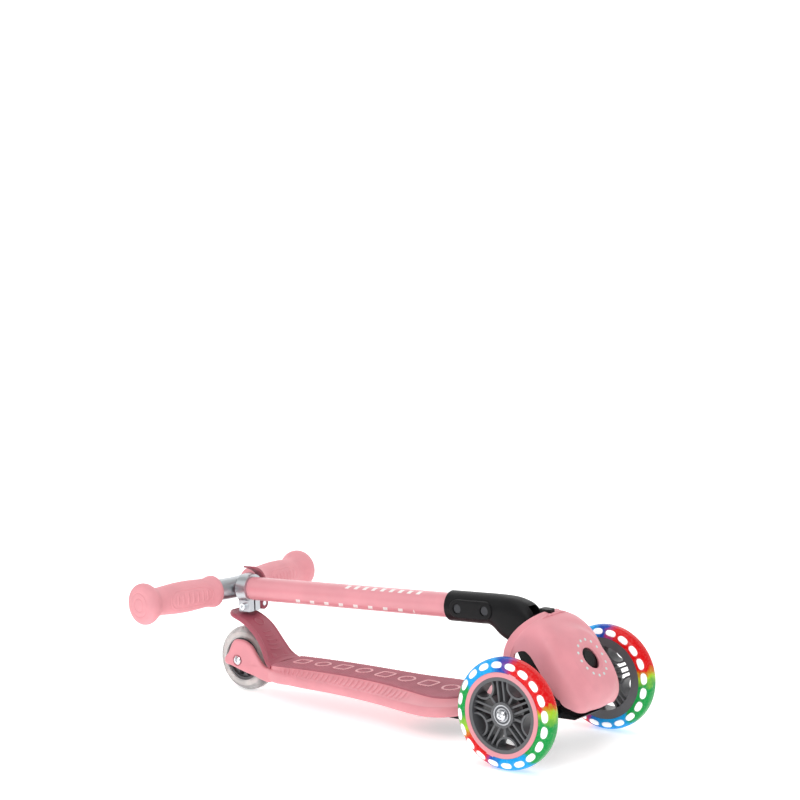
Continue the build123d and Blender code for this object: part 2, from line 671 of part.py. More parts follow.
def stem_socket():
    """Elbow that grips the tube and swings on the frame's tongue."""
    px, pz = 0.0, -axis_above_pivot
    sleeve = rod_x(0, 0, socket_radius, socket_start, 2.0)
    wide = socket_radius
    elbow = [(-32, -wide), (-24, -26), (-15, -31), (-6, -34.5), (8, -36)]
    elbow += arc_points((px, pz), knuckle_radius, -62, 84, 12)
    elbow += [(-4, socket_radius - 0.2), (-32, socket_radius - 0.2)]
    body = sleeve + slab(elbow, -wide, wide)
    rear_screw, front_screw = socket_screw_places
    pad = arc_points((rear_screw, 0), 9.5, 90, 270, 9) + arc_points((front_screw, 0), 9.5, -90, 90, 9)
    body += slab(pad, -wide - 1.2, 0)
    body -= rod_x(0, 0, stem_radius, socket_start - 1, tube_front)
    strip = tongue_thickness + 1.8
    start = tongue_dir
    end = tongue_dir + fold_angle
    centre = (px, pz)
    sweep_area = [turned_point(centre, start, 0, -strip - 4.5), turned_point(centre, start, 60, -strip - 4.5)]
    sweep_area += arc_points(centre, 62, start, end, 7)
    sweep_area += [turned_point(centre, end, 60, strip + 4.5), turned_point(centre, end, 0, strip + 4.5)]
    body -= slab(sweep_area, -slot_half, slot_half)
    body -= rod_y(px, pz, tongue_round + 1.2, -slot_half, slot_half)
    body -= rod_y(px, pz, fold_pin_radius, -wide + 3.5, wide + 1)
    for x in socket_screw_places:
        body -= rod_y(x, 0, socket_screw_radius, -40, 40)
        body -= rod_y(x, 0, socket_head_radius + 0.3, -wide - 3, -wide + 2.6)
        body -= rod_y(x, 0, socket_head_radius + 0.3, wide - 2.6, wide + 3)
    return body


socket_screw_places = (-70.0, -33.0)
socket_screw_radius = 2.5
socket_head_radius = 5.0
nodes["stem_socket"] = to_stem * stem_socket()
nodes["fold_pin"] = rod_y(*pivot, fold_pin_radius, -socket_radius + 3.5, socket_radius - 0.3)

screws = []
nuts = []
for x in socket_screw_places:
    head_low = -socket_radius + 0.1
    shank = rod_y(x, 0, socket_screw_radius, head_low, socket_radius - 3)
    head = rod_y(x, 0, socket_head_radius, head_low, head_low + 2.5)
    head -= rod_y(x, 0, 2.2, head_low - 1, head_low + 1.8)
    screws.append(to_stem * (shank + head))
    nuts.append(to_stem * (rod_y(x, 0, socket_head_radius, socket_radius - 2.6, socket_radius - 0.1)
                           - rod_y(x, 0, socket_screw_radius, 0, socket_radius - 2.9)
                           - rod_y(x, 0, 2.2, socket_radius - 1.5, 99)))
nodes["socket_screws"] = group(screws)
nodes["socket_nuts"] = group(nuts)

stem_tube = tube_x(stem_radius, stem_radius - tube_wall, tube_rear, tube_front)
for x in socket_screw_places:
    stem_tube -= rod_y(x, 0, socket_screw_radius, -40, 40)
slit_half = 1.2
slit_length = 34.0
stem_tube -= block(tube_rear - 1, tube_rear + slit_length, -slit_half, slit_half, -30, 0)
nodes["stem_tube"] = to_stem * stem_tube

# ---------------------------------------------------------------- height clamp
lug_x = -stem_run
bolt_drop = stem_radius + 7.2
bolt_radius = 2.5
lug_half_width = 10.0
collar_radius = stem_radius + 3.2
washer_thickness = 2.0
washer_radius = 5.5
barrel_lever_radius = 7.5
lever_y = lug_half_width + washer_thickness + barrel_lever_radius + face_gap
lever_half_length = 7.5
cam_pin_radius = 3.0
lever_thickness = 4.2
blade_inset = 2.8          # from the barrel's rear end, to swing clear of the grip
lever_radius = 25.0

collar = tube_x(collar_radius, stem_radius, collar_rear, collar_front)
collar += (block(lug_x - lug_half_length, lug_x + lug_half_length, -lug_half_width, lug_half_width,
                 -lug_depth, -stem_radius + 2)
           - rod_x(0, 0, stem_radius, -999, 0))
collar -= block(lug_x - 20, lug_x + 20, -slit_half, slit_half, -40, 0)
collar -= rod_y(lug_x, -bolt_drop, bolt_radius, -40, 40)
nodes["collar"] = to_stem * collar
bolt_head = rod_y(lug_x, -bolt_drop, 4.2, -lug_half_width - 4.0, -lug_half_width)
bolt_head -= rod_y(lug_x, -bolt_drop, 2.0, -lug_half_width - 5, -lug_half_width - 1.5)
nodes["clamp_bolt"] = to_stem * (bolt_head + rod_y(lug_x, -bolt_drop, bolt_radius, -lug_half_width,
                                                   lever_y - cam_pin_radius + 1))
washer_outer = lug_half_width + washer_thickness
nodes["cam_washer"] = to_stem * ring_y(lug_x, -bolt_drop, washer_radius, bolt_radius,
                                       lug_half_width, washer_outer)
cam_pin = rod_x(lever_y, -bolt_drop, cam_pin_radius, lug_x - lever_half_length, lug_x + lever_half_length)
cam_pin -= rod_y(lug_x, -bolt_drop, bolt_radius, -40, lever_y - cam_pin_radius + 1)
nodes["cam_pin"] = to_stem * cam_pin


def lever():
    """A cam barrel with a blade that curls over the tube."""
    low = lug_x - lever_half_length
    high = lug_x + lever_half_length
    body = rod_x(lever_y, -bolt_drop, barrel_lever_radius, low, high)
    foot = degrees(atan2(-bolt_drop, lever_y))
    blade = tube_x(lever_radius + lever_thickness / 2, lever_radius - lever_thickness / 2,
                   low + blade_inset, high)
    wedge = [(0, 0)] + arc_points((0, 0), 60, foot, 97, 9)
    sector = extrude(Plane(origin=(low - 1, 0, 0), x_dir=(0, 1, 0), z_dir=(1, 0, 0))
                     * make_face(Polyline(*wedge, close=True)), high - low + 2)
    body += blade & sector
    body -= rod_x(lever_y, -bolt_drop, cam_pin_radius + running_fit, low - 1, high + 1)
    half_slot = bolt_radius + face_gap
    centre = (lever_y, -bolt_drop)
    # The bolt leaves towards the collar; as the blade opens, the bolt turns the other way in it.
    sweep_area = [turned_point(centre, 180, 0, -half_slot), turned_point(centre, 180, 12, -half_slot)]
    sweep_area += arc_points(centre, 13, 180, 180 + lever_angle, 7)
    sweep_area += [turned_point(centre, 180 + lever_angle, 12, half_slot),
                   turned_point(centre, 180 + lever_angle, 0, half_slot)]
    slot_plane = Plane(origin=(lug_x - half_slot, 0, 0), x_dir=(0, 1, 0), z_dir=(1, 0, 0))
    body -= extrude(slot_plane * make_face(Polyline(*sweep_area, close=True)), 2 * half_slot)
    return body


nodes["quick_release_lever"] = to_stem * lever()

# ---------------------------------------------------------------- bar
inner_wall_radius = inner_radius - tube_wall
inner_tube = tube_x(inner_radius, inner_wall_radius, cross_x, collar_rear + insert_length)
inner_tube -= rod_y(cross_x, 0, cross_radius, -40, 40)
nodes["inner_tube"] = to_stem * inner_tube


def both_halves(piece):
    """A piece along +Y, leaned back on the left and mirrored on the right."""
    left = Location((cross_x, 0, 0), (0, 0, bar_sweep)) * piece
    return left + mirrored(left)


cross_half = 33.0
t_joint = both_halves(rod_y(0, 0, cross_radius, -1, cross_half))
t_joint += rod_x(0, 0, inner_wall_radius - 0.02, cross_x, collar_rear + 20)
t_joint -= both_halves(rod_y(0, 0, bar_radius, -1.4, cross_half + 9))
nodes["t_joint"] = to_stem * t_joint
handlebar = both_halves(rod_y(0, 0, bar_radius, -1.4, bar_half_width - 3))
handlebar -= both_halves(rod_y(0, 0, bar_radius - tube_wall, -1.2, bar_half_width + 9))
nodes["handlebar"] = to_stem * handlebar

grip_end = bar_half_width + 2.0
grip_start = cross_half + 0.3
grip_profile = [
    (17.0, grip_start), (19.6, grip_start + 2), (20.2, grip_start + 6), (18.4, grip_start + 11),
    (17.6, grip_start + 20), (18.6, grip_start + 34), (19.4, grip_start + 50), (18.8, grip_end - 52),
    (17.4, grip_end - 36), (17.0, grip_end - 27), (19.0, grip_end - 20), (23.2, grip_end - 13),
    (24.8, grip_end - 8), (24.0, grip_end - 3), (20.5, grip_end),
]
grip = turned_y(0, 0, [(0.0, grip_start)] + grip_profile + [(0.0, grip_end)])
grip -= rod_y(0, 0, bar_radius, grip_start - 1, bar_half_width - 3)
grip_left = Location((cross_x, 0, 0), (0, 0, bar_sweep)) * grip
nodes["grip_left"] = to_stem * grip_left
nodes["grip_right"] = to_stem * mirrored(grip_left)

# ---------------------------------------------------------------- nose cover and fold button
def nose_cover():
    z = front_axle_z
    body = cover_solid(0) - cover_solid(cover_wall)
    # Open behind for the elbow, and below and at the sides for the steering.
    mouth = [(-60, z + 40), (-38, z + 40), (-38, z + 50), (-29, z + 69), (-13, z + 87), (-13, z + 120),
             (-60, z + 120)]
    body -= slab(mouth, -cover_half + 8, cover_half - 8)
    body -= block(-60, leg_front + 1, -cover_half + 9, cover_half - 9, z - 20, z + 46)
    body -= rod_y(*pivot, knuckle_radius + 2.5, -socket_radius - 1.5, socket_radius + 1.5)
    arch = [(leg_front, z - 40), (leg_front, z + 40), (-26, z + 50), (-16, z + 54), (-7, z + 50), (3, z + 39),
            (20, z + 17), (36, z + 4), (48, z - 14), (48, z - 40)]
    body -= slab(arch, -99, 99)
    body -= to_button * rod_z(0, 0, button_radius + face_gap, -20, 30)
    body -= to_button * rod_z(0, 0, housing_inner + housing_wall, -20, -2.0)
    body -= block(-30, -8, -7, 7, z + 80, z + 110)
    for side in (-1, 1):
        body -= rod_y(*cover_screw, screw_radius, *sorted((side * 30, side * 60)))
    return body


nodes["nose_cover"] = nose_cover()
cover_screws = []
for side in (-1, 1):
    shank_ends = sorted((side * (cover_half - cover_wall - 13), side * cover_half))
    head_ends = sorted((side * cover_half, side * (cover_half + 1.8)))
    shank = rod_y(*cover_screw, screw_radius, *shank_ends)
    cover_screws.append(shank + rod_y(*cover_screw, screw_radius + 1.8, *head_ends))
nodes["cover_screws"] = group(cover_screws)

fold_button_x = -16.5
guide_radius = 5.6
fold_button_z = front_axle_z + 94
fold_button = block(fold_button_x - 7, fold_button_x + 7, -6, 6, fold_button_z - 4.5, fold_button_z)
fold_button = fillet(fold_button.edges().filter_by(Axis.Z), 2.5)
fold_button += rod_z(fold_button_x, 0, 2.2, fold_button_z - 18, fold_button_z - 4)
nodes["fold_button"] = fold_button
guide_top = fold_button_z - 4.5 - button_travel - face_gap
fold_guide = (rod_z(fold_button_x, 0, guide_radius, fold_button_z - 20, guide_top)
              - rod_z(fold_button_x, 0, guide_radius - 1.4, fold_button_z - 17, 999)
              - rod_z(fold_button_x, 0, 2.2 + running_fit, 0, 999))
fold_guide += (block(fold_button_x, fold_button_x + 22, -4, 4, fold_button_z - 20, fold_button_z - 17)
               - rod_z(fold_button_x, 0, 3.0, 0, 999))
upright = block(fold_button_x + 18, fold_button_x + 22, -4, 4, fold_button_z - 20, 999)
fold_guide += upright & cover_solid(cover_wall)
nodes["fold_guide"] = fold_guide
nodes["fold_spring"] = Pos(fold_button_x, 0, fold_button_z - 17) * coil(0.4, 3.2, 2.5, 1.1)

# ---------------------------------------------------------------- place and write
boxes = [shape.bounding_box() for shape in nodes.values()]
low = [min(getattr(box.min, axis) for box in boxes) for axis in "XYZ"]
high = [max(getattr(box.max, axis) for box in boxes) for axis in "XYZ"]
shift = (-(low[0] + high[0]) / 2, -(low[1] + high[1]) / 2, -low[2])
os.makedirs("parts", exist_ok=True)
for name, shape in nodes.items():
    moved = [Pos(*shift) * solid for solid in shape.solids()]
    placed = moved[0] if len(moved) == 1 else group(moved)
    export_step(placed, os.path.join("parts", name + ".step"))
print(len(nodes), "nodes, overall", [round(b - a, 1) for a, b in zip(low, high)])
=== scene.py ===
import json
from math import atan2, cos, degrees, pi, radians, sin
import bmesh
import bpy
import numpy as np
from mathutils import Matrix, Vector


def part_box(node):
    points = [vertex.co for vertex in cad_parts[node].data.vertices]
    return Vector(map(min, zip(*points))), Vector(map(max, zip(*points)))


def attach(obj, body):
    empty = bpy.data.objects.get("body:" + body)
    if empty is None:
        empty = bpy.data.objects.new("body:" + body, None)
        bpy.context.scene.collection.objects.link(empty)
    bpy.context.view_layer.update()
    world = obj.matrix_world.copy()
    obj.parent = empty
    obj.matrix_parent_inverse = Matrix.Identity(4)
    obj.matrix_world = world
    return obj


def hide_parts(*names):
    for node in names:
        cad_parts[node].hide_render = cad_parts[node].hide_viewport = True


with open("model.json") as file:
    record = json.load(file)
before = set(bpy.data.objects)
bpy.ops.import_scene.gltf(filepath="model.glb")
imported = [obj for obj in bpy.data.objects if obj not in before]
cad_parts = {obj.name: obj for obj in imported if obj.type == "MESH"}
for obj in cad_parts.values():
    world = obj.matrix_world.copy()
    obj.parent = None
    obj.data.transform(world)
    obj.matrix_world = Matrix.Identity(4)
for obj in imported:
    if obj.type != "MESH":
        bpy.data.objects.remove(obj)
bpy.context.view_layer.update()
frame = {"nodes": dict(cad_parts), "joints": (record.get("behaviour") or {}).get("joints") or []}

# The folded three-wheeled scooter. Sizes are in millimetres, from the floor under the front axle,
# with x forward, y to the rider's left and z up; place() takes them to the frame's metres.
mm = 0.001


def middle(node):
    low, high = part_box(node)
    return np.array((low + high) / 2)


axleX = middle("front_core_left")[0]
print("frame loaded,", len(frame["nodes"]), "nodes")


def place(points):
    return np.asarray(points, float) * mm + np.array((axleX, 0, 0))


def inAxleFrame(point):
    return (np.asarray(point, float) - np.array((axleX, 0, 0))) / mm


def centreOf(node):
    return inAxleFrame(middle(node))


def cornersOf(node):
    return inAxleFrame(np.array([v.co for v in frame["nodes"][node].data.vertices]))


# curves and meshes

def turns(count):
    return np.linspace(0, 2 * pi, count, endpoint=False)


def blend(p, slope, k, h, t):
    # a cubic span: its two ends and their slopes, blended by the share t of its length h
    return ((2 * t**3 - 3 * t**2 + 1) * p[k] + (t**3 - 2 * t**2 + t) * h * slope[k]
            + (3 * t**2 - 2 * t**3) * p[k + 1] + (t**3 - t**2) * h * slope[k + 1])


def smoothLine(points, count, closed=False):
    # a cubic through the points, at even steps of the distance along them
    p = np.asarray(points, float)
    if closed:
        p = np.vstack([p[-2:], p, p[:3]])
    along = np.r_[0, np.cumsum(np.linalg.norm(np.diff(p, axis=0), axis=1))]
    slope = np.gradient(p, along, axis=0)
    first, last = (along[2], along[-3]) if closed else (along[0], along[-1])
    s = np.linspace(first, last, count, endpoint=not closed)
    k = np.clip(np.searchsorted(along, s, side="right") - 1, 0, len(along) - 2)
    h = (along[k + 1] - along[k])[:, None]
    return blend(p, slope, k, h, (s - along[k])[:, None] / h)


def graph(pairs, x):
    # the height at x of a cubic through the pairs, level outside them
    p = np.asarray(pairs, float)
    slope = np.gradient(p[:, 1], p[:, 0])
    x = np.clip(x, p[0, 0], p[-1, 0])
    k = np.clip(np.searchsorted(p[:, 0], x, side="right") - 1, 0, len(p) - 2)
    h = p[k + 1, 0] - p[k, 0]
    return blend(p[:, 1], slope, k, h, (x - p[k, 0]) / h)


def ease(x, low, high):
    # 0 below low, 1 above high, and a smooth step between them
    t = np.clip((x - low) / (high - low), 0, 1)
    return t * t * (3 - 2 * t)


def ridge(distance, width):
    # a rounded line, 1 at no distance
    return np.exp(-(distance / width) ** 2)


def gridFaces(rows, columns, wrapRows=False, wrapColumns=False):
    i = np.arange(rows if wrapRows else rows - 1)
    j = np.arange(columns if wrapColumns else columns - 1)
    i, j = np.meshgrid(i, j, indexing="ij")
    i2, j2 = (i + 1) % rows, (j + 1) % columns
    corners = [i * columns + j, i2 * columns + j, i2 * columns + j2, i * columns + j2]
    return np.stack(corners, -1).reshape(-1, 4).tolist()


def tidyMesh(mesh):
    # one corner where several meet, and every face turned outwards
    work = bmesh.new()
    work.from_mesh(mesh)
    bmesh.ops.remove_doubles(work, verts=work.verts, dist=2e-6)
    bmesh.ops.dissolve_degenerate(work, edges=work.edges, dist=1e-6)
    bmesh.ops.recalc_face_normals(work, faces=work.faces)
    work.to_mesh(mesh)
    work.free()


def newObject(name, data):
    thing = bpy.data.objects.new(name, data)
    bpy.context.scene.collection.objects.link(thing)
    return thing


def makePiece(name, points, faces, smoothAngle=35):
    mesh = bpy.data.meshes.new(name)
    mesh.from_pydata(place(points).tolist(), [], faces)
    tidyMesh(mesh)
    mesh.polygons.foreach_set("use_smooth", np.ones(len(mesh.polygons), bool))
    mesh.set_sharp_from_angle(angle=radians(smoothAngle))
    return newObject(name, mesh)


def loftPiece(name, rings, smoothAngle=35, closed=False):
    # rings of points, each joined to the next, with the first and the last filled or joined
    rows, columns = rings.shape[:2]
    faces = gridFaces(rows, columns, closed, True)
    if not closed:
        faces.append(list(range(columns)))
        faces.append([(rows - 1) * columns + j for j in range(columns)][::-1])
    return makePiece(name, rings.reshape(-1, 3), faces, smoothAngle)


def joined(name, pieces):
    # several pieces as one mesh
    work = bmesh.new()
    for piece in pieces:
        work.from_mesh(piece.data)
    mesh = pieces[0].data
    work.to_mesh(mesh)
    work.free()
    for piece in pieces[1:]:
        bpy.data.objects.remove(piece)
    pieces[0].name = name
    return pieces[0]


def mirrorCopy(piece, name):
    # the same piece on the rider's other side
    mesh = piece.data.copy()
    mesh.transform(Matrix.Scale(-1, 4, Vector((0, 1, 0))))
    mesh.flip_normals()
    return newObject(name, mesh)


def insetLoop(loop, distance):
    # a closed outline moved inwards along its own normals
    along = np.roll(loop, -1, 0) - np.roll(loop, 1, 0)
    along /= np.linalg.norm(along, axis=1)[:, None]
    normal = np.stack([-along[:, 1], along[:, 0]], 1)
    x, y = loop.T
    area = np.sum(x * np.roll(y, -1) - y * np.roll(x, -1))
    return loop + normal * distance * np.sign(area)


def padRings(loop, low, high, rounding, steps=5):
    # a flat pad of an outline, from low to high, whose edges are quarter circles
    turn = np.linspace(0, pi / 2, steps)
    inset = rounding * (1 - np.sin(turn))
    rise = rounding * (1 - np.cos(turn))
    rings = [np.c_[insetLoop(loop, d), np.full(len(loop), low + r)] for d, r in zip(inset, rise)]
    rings += [np.c_[insetLoop(loop, d), np.full(len(loop), high - r)] for d, r in zip(inset[::-1], rise[::-1])]
    return np.array(rings)


def boxLoop(low, high, step=4):
    # a rectangle's outline with points along its sides
    (x0, y0), (x1, y1) = low, high
    corners = np.array([(x0, y0), (x1, y0), (x1, y1), (x0, y1)], float)
    ends = np.roll(corners, -1, 0)
    t = np.linspace(0, 1, step, endpoint=False)[:, None]
    return np.vstack([a + (b - a) * t for a, b in zip(corners, ends)])


def stadium(length, width, count=64):
    # a straight-sided outline with round ends, about the middle
    a = turns(count)
    return np.c_[np.cos(a) * width / 2 + np.sign(np.cos(a)) * (length - width) / 2, np.sin(a) * width / 2]


def turnedRings(profile, sides=96):
    # (radius, height) points turned about the third axis
    a = turns(sides)
    profile = np.asarray(profile, float)
    r, h = profile[:, :1], profile[:, 1:]
    return np.stack([r * np.cos(a), r * np.sin(a), np.broadcast_to(h, (len(r), sides))], -1)


def toAxes(points, origin, first, second, third):
    # points given along three axes from an origin
    basis = np.array((first, second, third), float)
    return np.asarray(origin, float) + np.asarray(points, float) @ basis


def useModifier(piece, kind, **settings):
    # a modifier, applied at once
    modifier = piece.modifiers.new(kind, kind)
    for key, value in settings.items():
        setattr(modifier, key, value)
    mesh = bpy.data.meshes.new_from_object(piece.evaluated_get(bpy.context.evaluated_depsgraph_get()))
    piece.modifiers.clear()
    piece.data = mesh
    return piece


def cutBy(piece, cutter):
    # takes the cutter's shape out of the piece
    useModifier(piece, "BOOLEAN", operation="DIFFERENCE", object=cutter, solver="EXACT")
    bpy.data.objects.remove(cutter)
    piece.data.set_sharp_from_angle(angle=radians(35))
    return piece


# finishes

class Value:
    # a shader socket that does arithmetic: each operator adds one Math node
    def __init__(self, finish, socket):
        self.finish = finish
        self.socket = socket

    def math(self, operation, *others):
        return self.finish.add("ShaderNodeMath", {"operation": operation}, [self, *others])

    def __add__(self, other):
        return self.math("ADD", other)

    def __sub__(self, other):
        return self.math("SUBTRACT", other)

    def __rsub__(self, other):
        return self.finish.add("ShaderNodeMath", {"operation": "SUBTRACT"}, [other, self])

    def __mul__(self, other):
        return self.math("MULTIPLY", other)

    def __truediv__(self, other):
        return self.math("DIVIDE", other)

    __radd__ = __add__
    __rmul__ = __mul__


class Finish:
    # one material and the nodes that make it
    def __init__(self, name, **numbers):
        self.material = bpy.data.materials.new(name)
        self.material.use_nodes = True
        self.nodes = self.material.node_tree.nodes
        self.links = self.material.node_tree.links
        self.shader = self.nodes["Principled BSDF"]
        for key, value in numbers.items():
            self.shader.inputs[key.replace("_", " ")].default_value = value

    def fill(self, socket, value):
        if isinstance(value, Value):
            self.links.new(value.socket, socket)
        elif value is not None:
            socket.default_value = value

    def add(self, kind, settings=None, sockets=(), output=0):
        node = self.nodes.new(kind)
        for key, value in (settings or {}).items():
            setattr(node, key, value)
        pairs = sockets.items() if isinstance(sockets, dict) else enumerate(sockets)
        for key, value in pairs:
            self.fill(node.inputs[key], value)
        return Value(self, node.outputs[output])

    def where(self):
        return self.add("ShaderNodeTexCoord", output="Object")

    def aboutAxle(self, node):
        # the place from a wheel's middle, and the distance from its axle
        wheel = middle(node)
        x, _, z = self.parts(self.where())
        x, z = x - wheel[0], z - wheel[2]
        return x, z, (x * x + z * z).math("SQRT")

    def parts(self, vector):
        split = self.add("ShaderNodeSeparateXYZ", None, [vector])
        return [Value(self, out) for out in split.socket.node.outputs]

    def noise(self, vector, scale, detail=3.0):
        return self.add("ShaderNodeTexNoise", None, {"Vector": vector, "Scale": scale, "Detail": detail})

    def step(self, value, low, high):
        return self.add("ShaderNodeMapRange", {"interpolation_type": "SMOOTHSTEP"}, [value, low, high, 0.0, 1.0])

    def band(self, value, first, last, soft):
        # 1 from first to last, with soft ends
        return self.step(value, first, first + soft) * (1 - self.step(value, last, last + soft))

    def clouded(self, cloud, one, two, low=0.3, high=0.7):
        # one colour where the noise is low and the other where it is high
        return self.mix(self.step(cloud, low, high), one, two)

    def mix(self, share, one, two):
        node = self.add("ShaderNodeMix", {"data_type": "RGBA"}).socket.node
        for key, value in ((0, share), (6, one), (7, two)):
            self.fill(node.inputs[key], value)
        return Value(self, node.outputs[2])

    def ramp(self, value, stops):
        node = self.add("ShaderNodeValToRGB", None, [value]).socket.node
        ramp = node.color_ramp
        while len(ramp.elements) < len(stops):
            ramp.elements.new(0.5)
        for element, (position, colour) in zip(ramp.elements, stops):
            element.position = position
            element.color = colour
        return Value(self, node.outputs[0])

    def bump(self, height, distance):
        return self.add("ShaderNodeBump", None, {"Strength": 1.0, "Distance": distance, "Height": height})

    def feed(self, **values):
        for key, value in values.items():
            self.fill(self.shader.inputs[key.replace("_", " ")], value)
        return self.material


def linear(red, green, blue):
    # a screen colour of 0 to 255 as the shader's linear one
    c = np.array((red, green, blue)) / 255
    c = np.where(c <= 0.04045, c / 12.92, ((c + 0.055) / 1.055) ** 2.4)
    return (*c.tolist(), 1.0)


def shaded(colour, factor):
    return (*[min(1.0, c * factor) for c in colour[:3]], 1.0)


colours = {
    "pink": linear(231, 152, 161),
    "gripPink": linear(234, 158, 166),
    "rose": linear(172, 88, 103),
    "roseMat": linear(184, 112, 124),
    "lightPink": linear(238, 176, 182),
    "black": linear(15, 15, 17),
    "darkGrey": linear(92, 93, 96),
    "red": linear(214, 10, 16),
    "green": linear(0, 150, 66),
    "cyan": linear(0, 158, 228),
    "blue": linear(24, 70, 170),
    "lime": linear(160, 206, 40),
    "print": linear(246, 243, 240),
}


def plastic(name, colour, roughness, grain=0.00006, sheen=0.5):
    # moulded plastic: fine grain, faint clouds of colour and uneven gloss
    finish = Finish(name, IOR=1.49, Specular_IOR_Level=sheen)
    spot = finish.where()
    cloud = finish.noise(spot, 38, 3)
    fine = finish.noise(spot, 2400, 2)
    base = finish.clouded(cloud, shaded(colour, 0.955), shaded(colour, 1.03))
    gloss = roughness - 0.05 + cloud * 0.06 + fine * 0.05
    return finish.feed(Base_Color=base, Roughness=gloss, Normal=finish.bump(fine, grain))


def pinkPaint():
    # satin powder coat on the tube, with slanted dashes printed along its top and under it
    finish = Finish("pinkPaint", IOR=1.5, Coat_Weight=0.35, Coat_Roughness=0.18)
    spot = finish.where()
    x, y, z = finish.parts(spot)
    peel = finish.noise(spot, 900, 3)
    cloud = finish.noise(spot, 30, 3)
    base = finish.clouded(cloud, shaded(colours["pink"], 0.95), shaded(colours["pink"], 1.02))
    radius = stem["radius"] * mm
    low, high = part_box("stem_tube")
    slope = (high[2] - low[2] - 2 * radius) / (high[0] - low[0])
    centre = (low[2] + high[2]) / 2 - (low[0] + high[0]) / 2 * slope
    around = finish.add("ShaderNodeMath", {"operation": "ARCTAN2"}, [y * -1.0, z - (x * slope) - centre]) * radius
    # a dash is where the fraction of a slanted count of pitches is low, between two ends and two edges
    for first, last, pitch, lowest, highest, thick in stem["dashes"]:
        saw = ((x + around * 0.35) / (pitch * mm)).math("FRACT")
        mark = finish.band(saw, 0.18, 0.18 + thick, 0.02)
        mark = mark * finish.band(x, axleX + first * mm, axleX + last * mm, 0.5 * mm)
        mark = mark * finish.band(around, lowest * mm, highest * mm, 0.3 * mm)
        base = finish.mix(mark, base, colours["print"])
    gloss = 0.3 + cloud * 0.08
    return finish.feed(Base_Color=base, Roughness=gloss, Normal=finish.bump(peel, 0.00004))


def metal(name, colour, roughness, stretch=(1, 1, 1), grain=0.00002):
    # metal with fine marks drawn out along one axis
    finish = Finish(name, Metallic=1.0)
    spot = finish.add("ShaderNodeMapping", None, {"Vector": finish.where(), "Scale": stretch})
    marks = finish.noise(spot, 1500, 3)
    cloud = finish.noise(finish.where(), 60, 3)
    base = finish.clouded(cloud, shaded(colour, 0.9), colour)
    gloss = roughness - 0.04 + marks * 0.1 + cloud * 0.04
    return finish.feed(Base_Color=base, Roughness=gloss, Normal=finish.bump(marks, grain))


def rubberMat():
    # grip rubber, whose dots are in the mesh: fine pores and clouds of colour
    finish = Finish("roseRubber", Roughness=0.6)
    spot = finish.where()
    cloud = finish.noise(spot, 45, 4)
    pores = finish.noise(spot, 3200, 2)
    rose = colours["roseMat"]
    base = finish.clouded(cloud, shaded(rose, 0.88), shaded(rose, 1.06), 0.25, 0.75)
    return finish.feed(Base_Color=base, Roughness=0.5 + pores * 0.2, Normal=finish.bump(pores, 0.00008))


def litTyre(name, node):
    # clear urethane lit from inside: colours follow the clock round the wheel, whiter near each light
    finish = Finish(name, IOR=1.4, Specular_IOR_Level=0.25, Emission_Strength=0.1)
    spot = finish.where()
    x, z, radius = finish.aboutAxle(node)
    turn = finish.add("ShaderNodeMath", {"operation": "ARCTAN2"}, [x, z])
    clock = (turn / (2 * pi) + 1.0).math("FRACT")
    smear = finish.noise(spot, 110, 4)
    clock = (clock + (smear - 0.5) * 0.06 + 1.0).math("FRACT")
    base = finish.ramp(clock, [(at / 12, colours[key]) for at, key in tyreClock])
    speck = finish.noise(spot, 420, 3)
    base = finish.mix(finish.step(speck, 0.4, 0.8) * 0.05, base, shaded(colours["print"], 1.0))
    count = lights["count"]
    slot = ((turn * (count / (2 * pi))) + 0.5 + lights["phase"]).math("FRACT") - 0.5
    aside = slot * (2 * pi / count) * radius / (lights["long"] * 0.5 * mm)
    out = (radius - lights["circle"] * mm) / (lights["deep"] * 0.5 * mm)
    far = (aside * aside + out * out).math("SQRT")
    halo = (1 - finish.step(far, 0.85, 1.4)) * 0.55
    base = finish.mix(halo, base, colours["print"])
    depth = finish.noise(spot, 260, 3)
    return finish.feed(Base_Color=base, Emission_Color=base, Roughness=0.16 + depth * 0.14,
                       Normal=finish.bump(depth, 0.0001))


def clearTyre():
    # clear cast urethane: a greyish tone of its own, with paler clouds painted into its colour as highlights
    finish = Finish("clearUrethane", IOR=1.48, Transmission_Weight=0.55, Coat_Weight=0.3, Coat_Roughness=0.08)
    radius = finish.aboutAxle("rear_tyre")[2]
    band = finish.noise(finish.where(), 70, 4)
    ring = finish.step(radius, 27 * mm, 30 * mm) * (1 - finish.step(radius, 32.5 * mm, 34.5 * mm))
    base = finish.clouded(band, linear(168, 168, 168), linear(232, 230, 228), 0.35)
    # a near-white ring round the axle painted into the colour: a painted highlight
    base = finish.mix(ring * 0.55, base, linear(252, 244, 238))
    return finish.feed(Base_Color=base, Roughness=0.14 + band * 0.12, Normal=finish.bump(band, 0.0001))


def bearing(name, node):
    # turned steel seen end on: rings of light and dark by the distance from the axle
    finish = Finish(name, Metallic=0.85, IOR=1.6)
    radius = finish.aboutAxle(node)[2] / (11 * mm)
    dark, mid, light = linear(40, 41, 44), linear(112, 114, 118), linear(214, 216, 220)
    stops = [(0.0, dark), (0.22, dark), (0.26, light), (0.44, light), (0.48, dark), (0.55, dark), (0.6, light),
             (0.7, mid), (0.78, dark), (0.84, mid), (0.97, light)]
    base = finish.ramp(radius, stops)
    wear = finish.noise(finish.where(), 500, 3)
    return finish.feed(Base_Color=base, Roughness=0.2 + wear * 0.14, Normal=finish.bump(wear, 0.00004))


def glow():
    # white light windows, clouded with a faint blue
    finish = Finish("whiteLight", Base_Color=(1, 1, 1, 1), IOR=1.45, Emission_Strength=0.35)
    cloud = finish.noise(finish.where(), 300, 2)
    tone = finish.clouded(cloud, (1, 1, 1, 1), linear(226, 238, 250), 0.4, 0.75)
    return finish.feed(Emission_Color=tone, Base_Color=tone, Roughness=0.2 + cloud * 0.1)


# values shared by the pieces

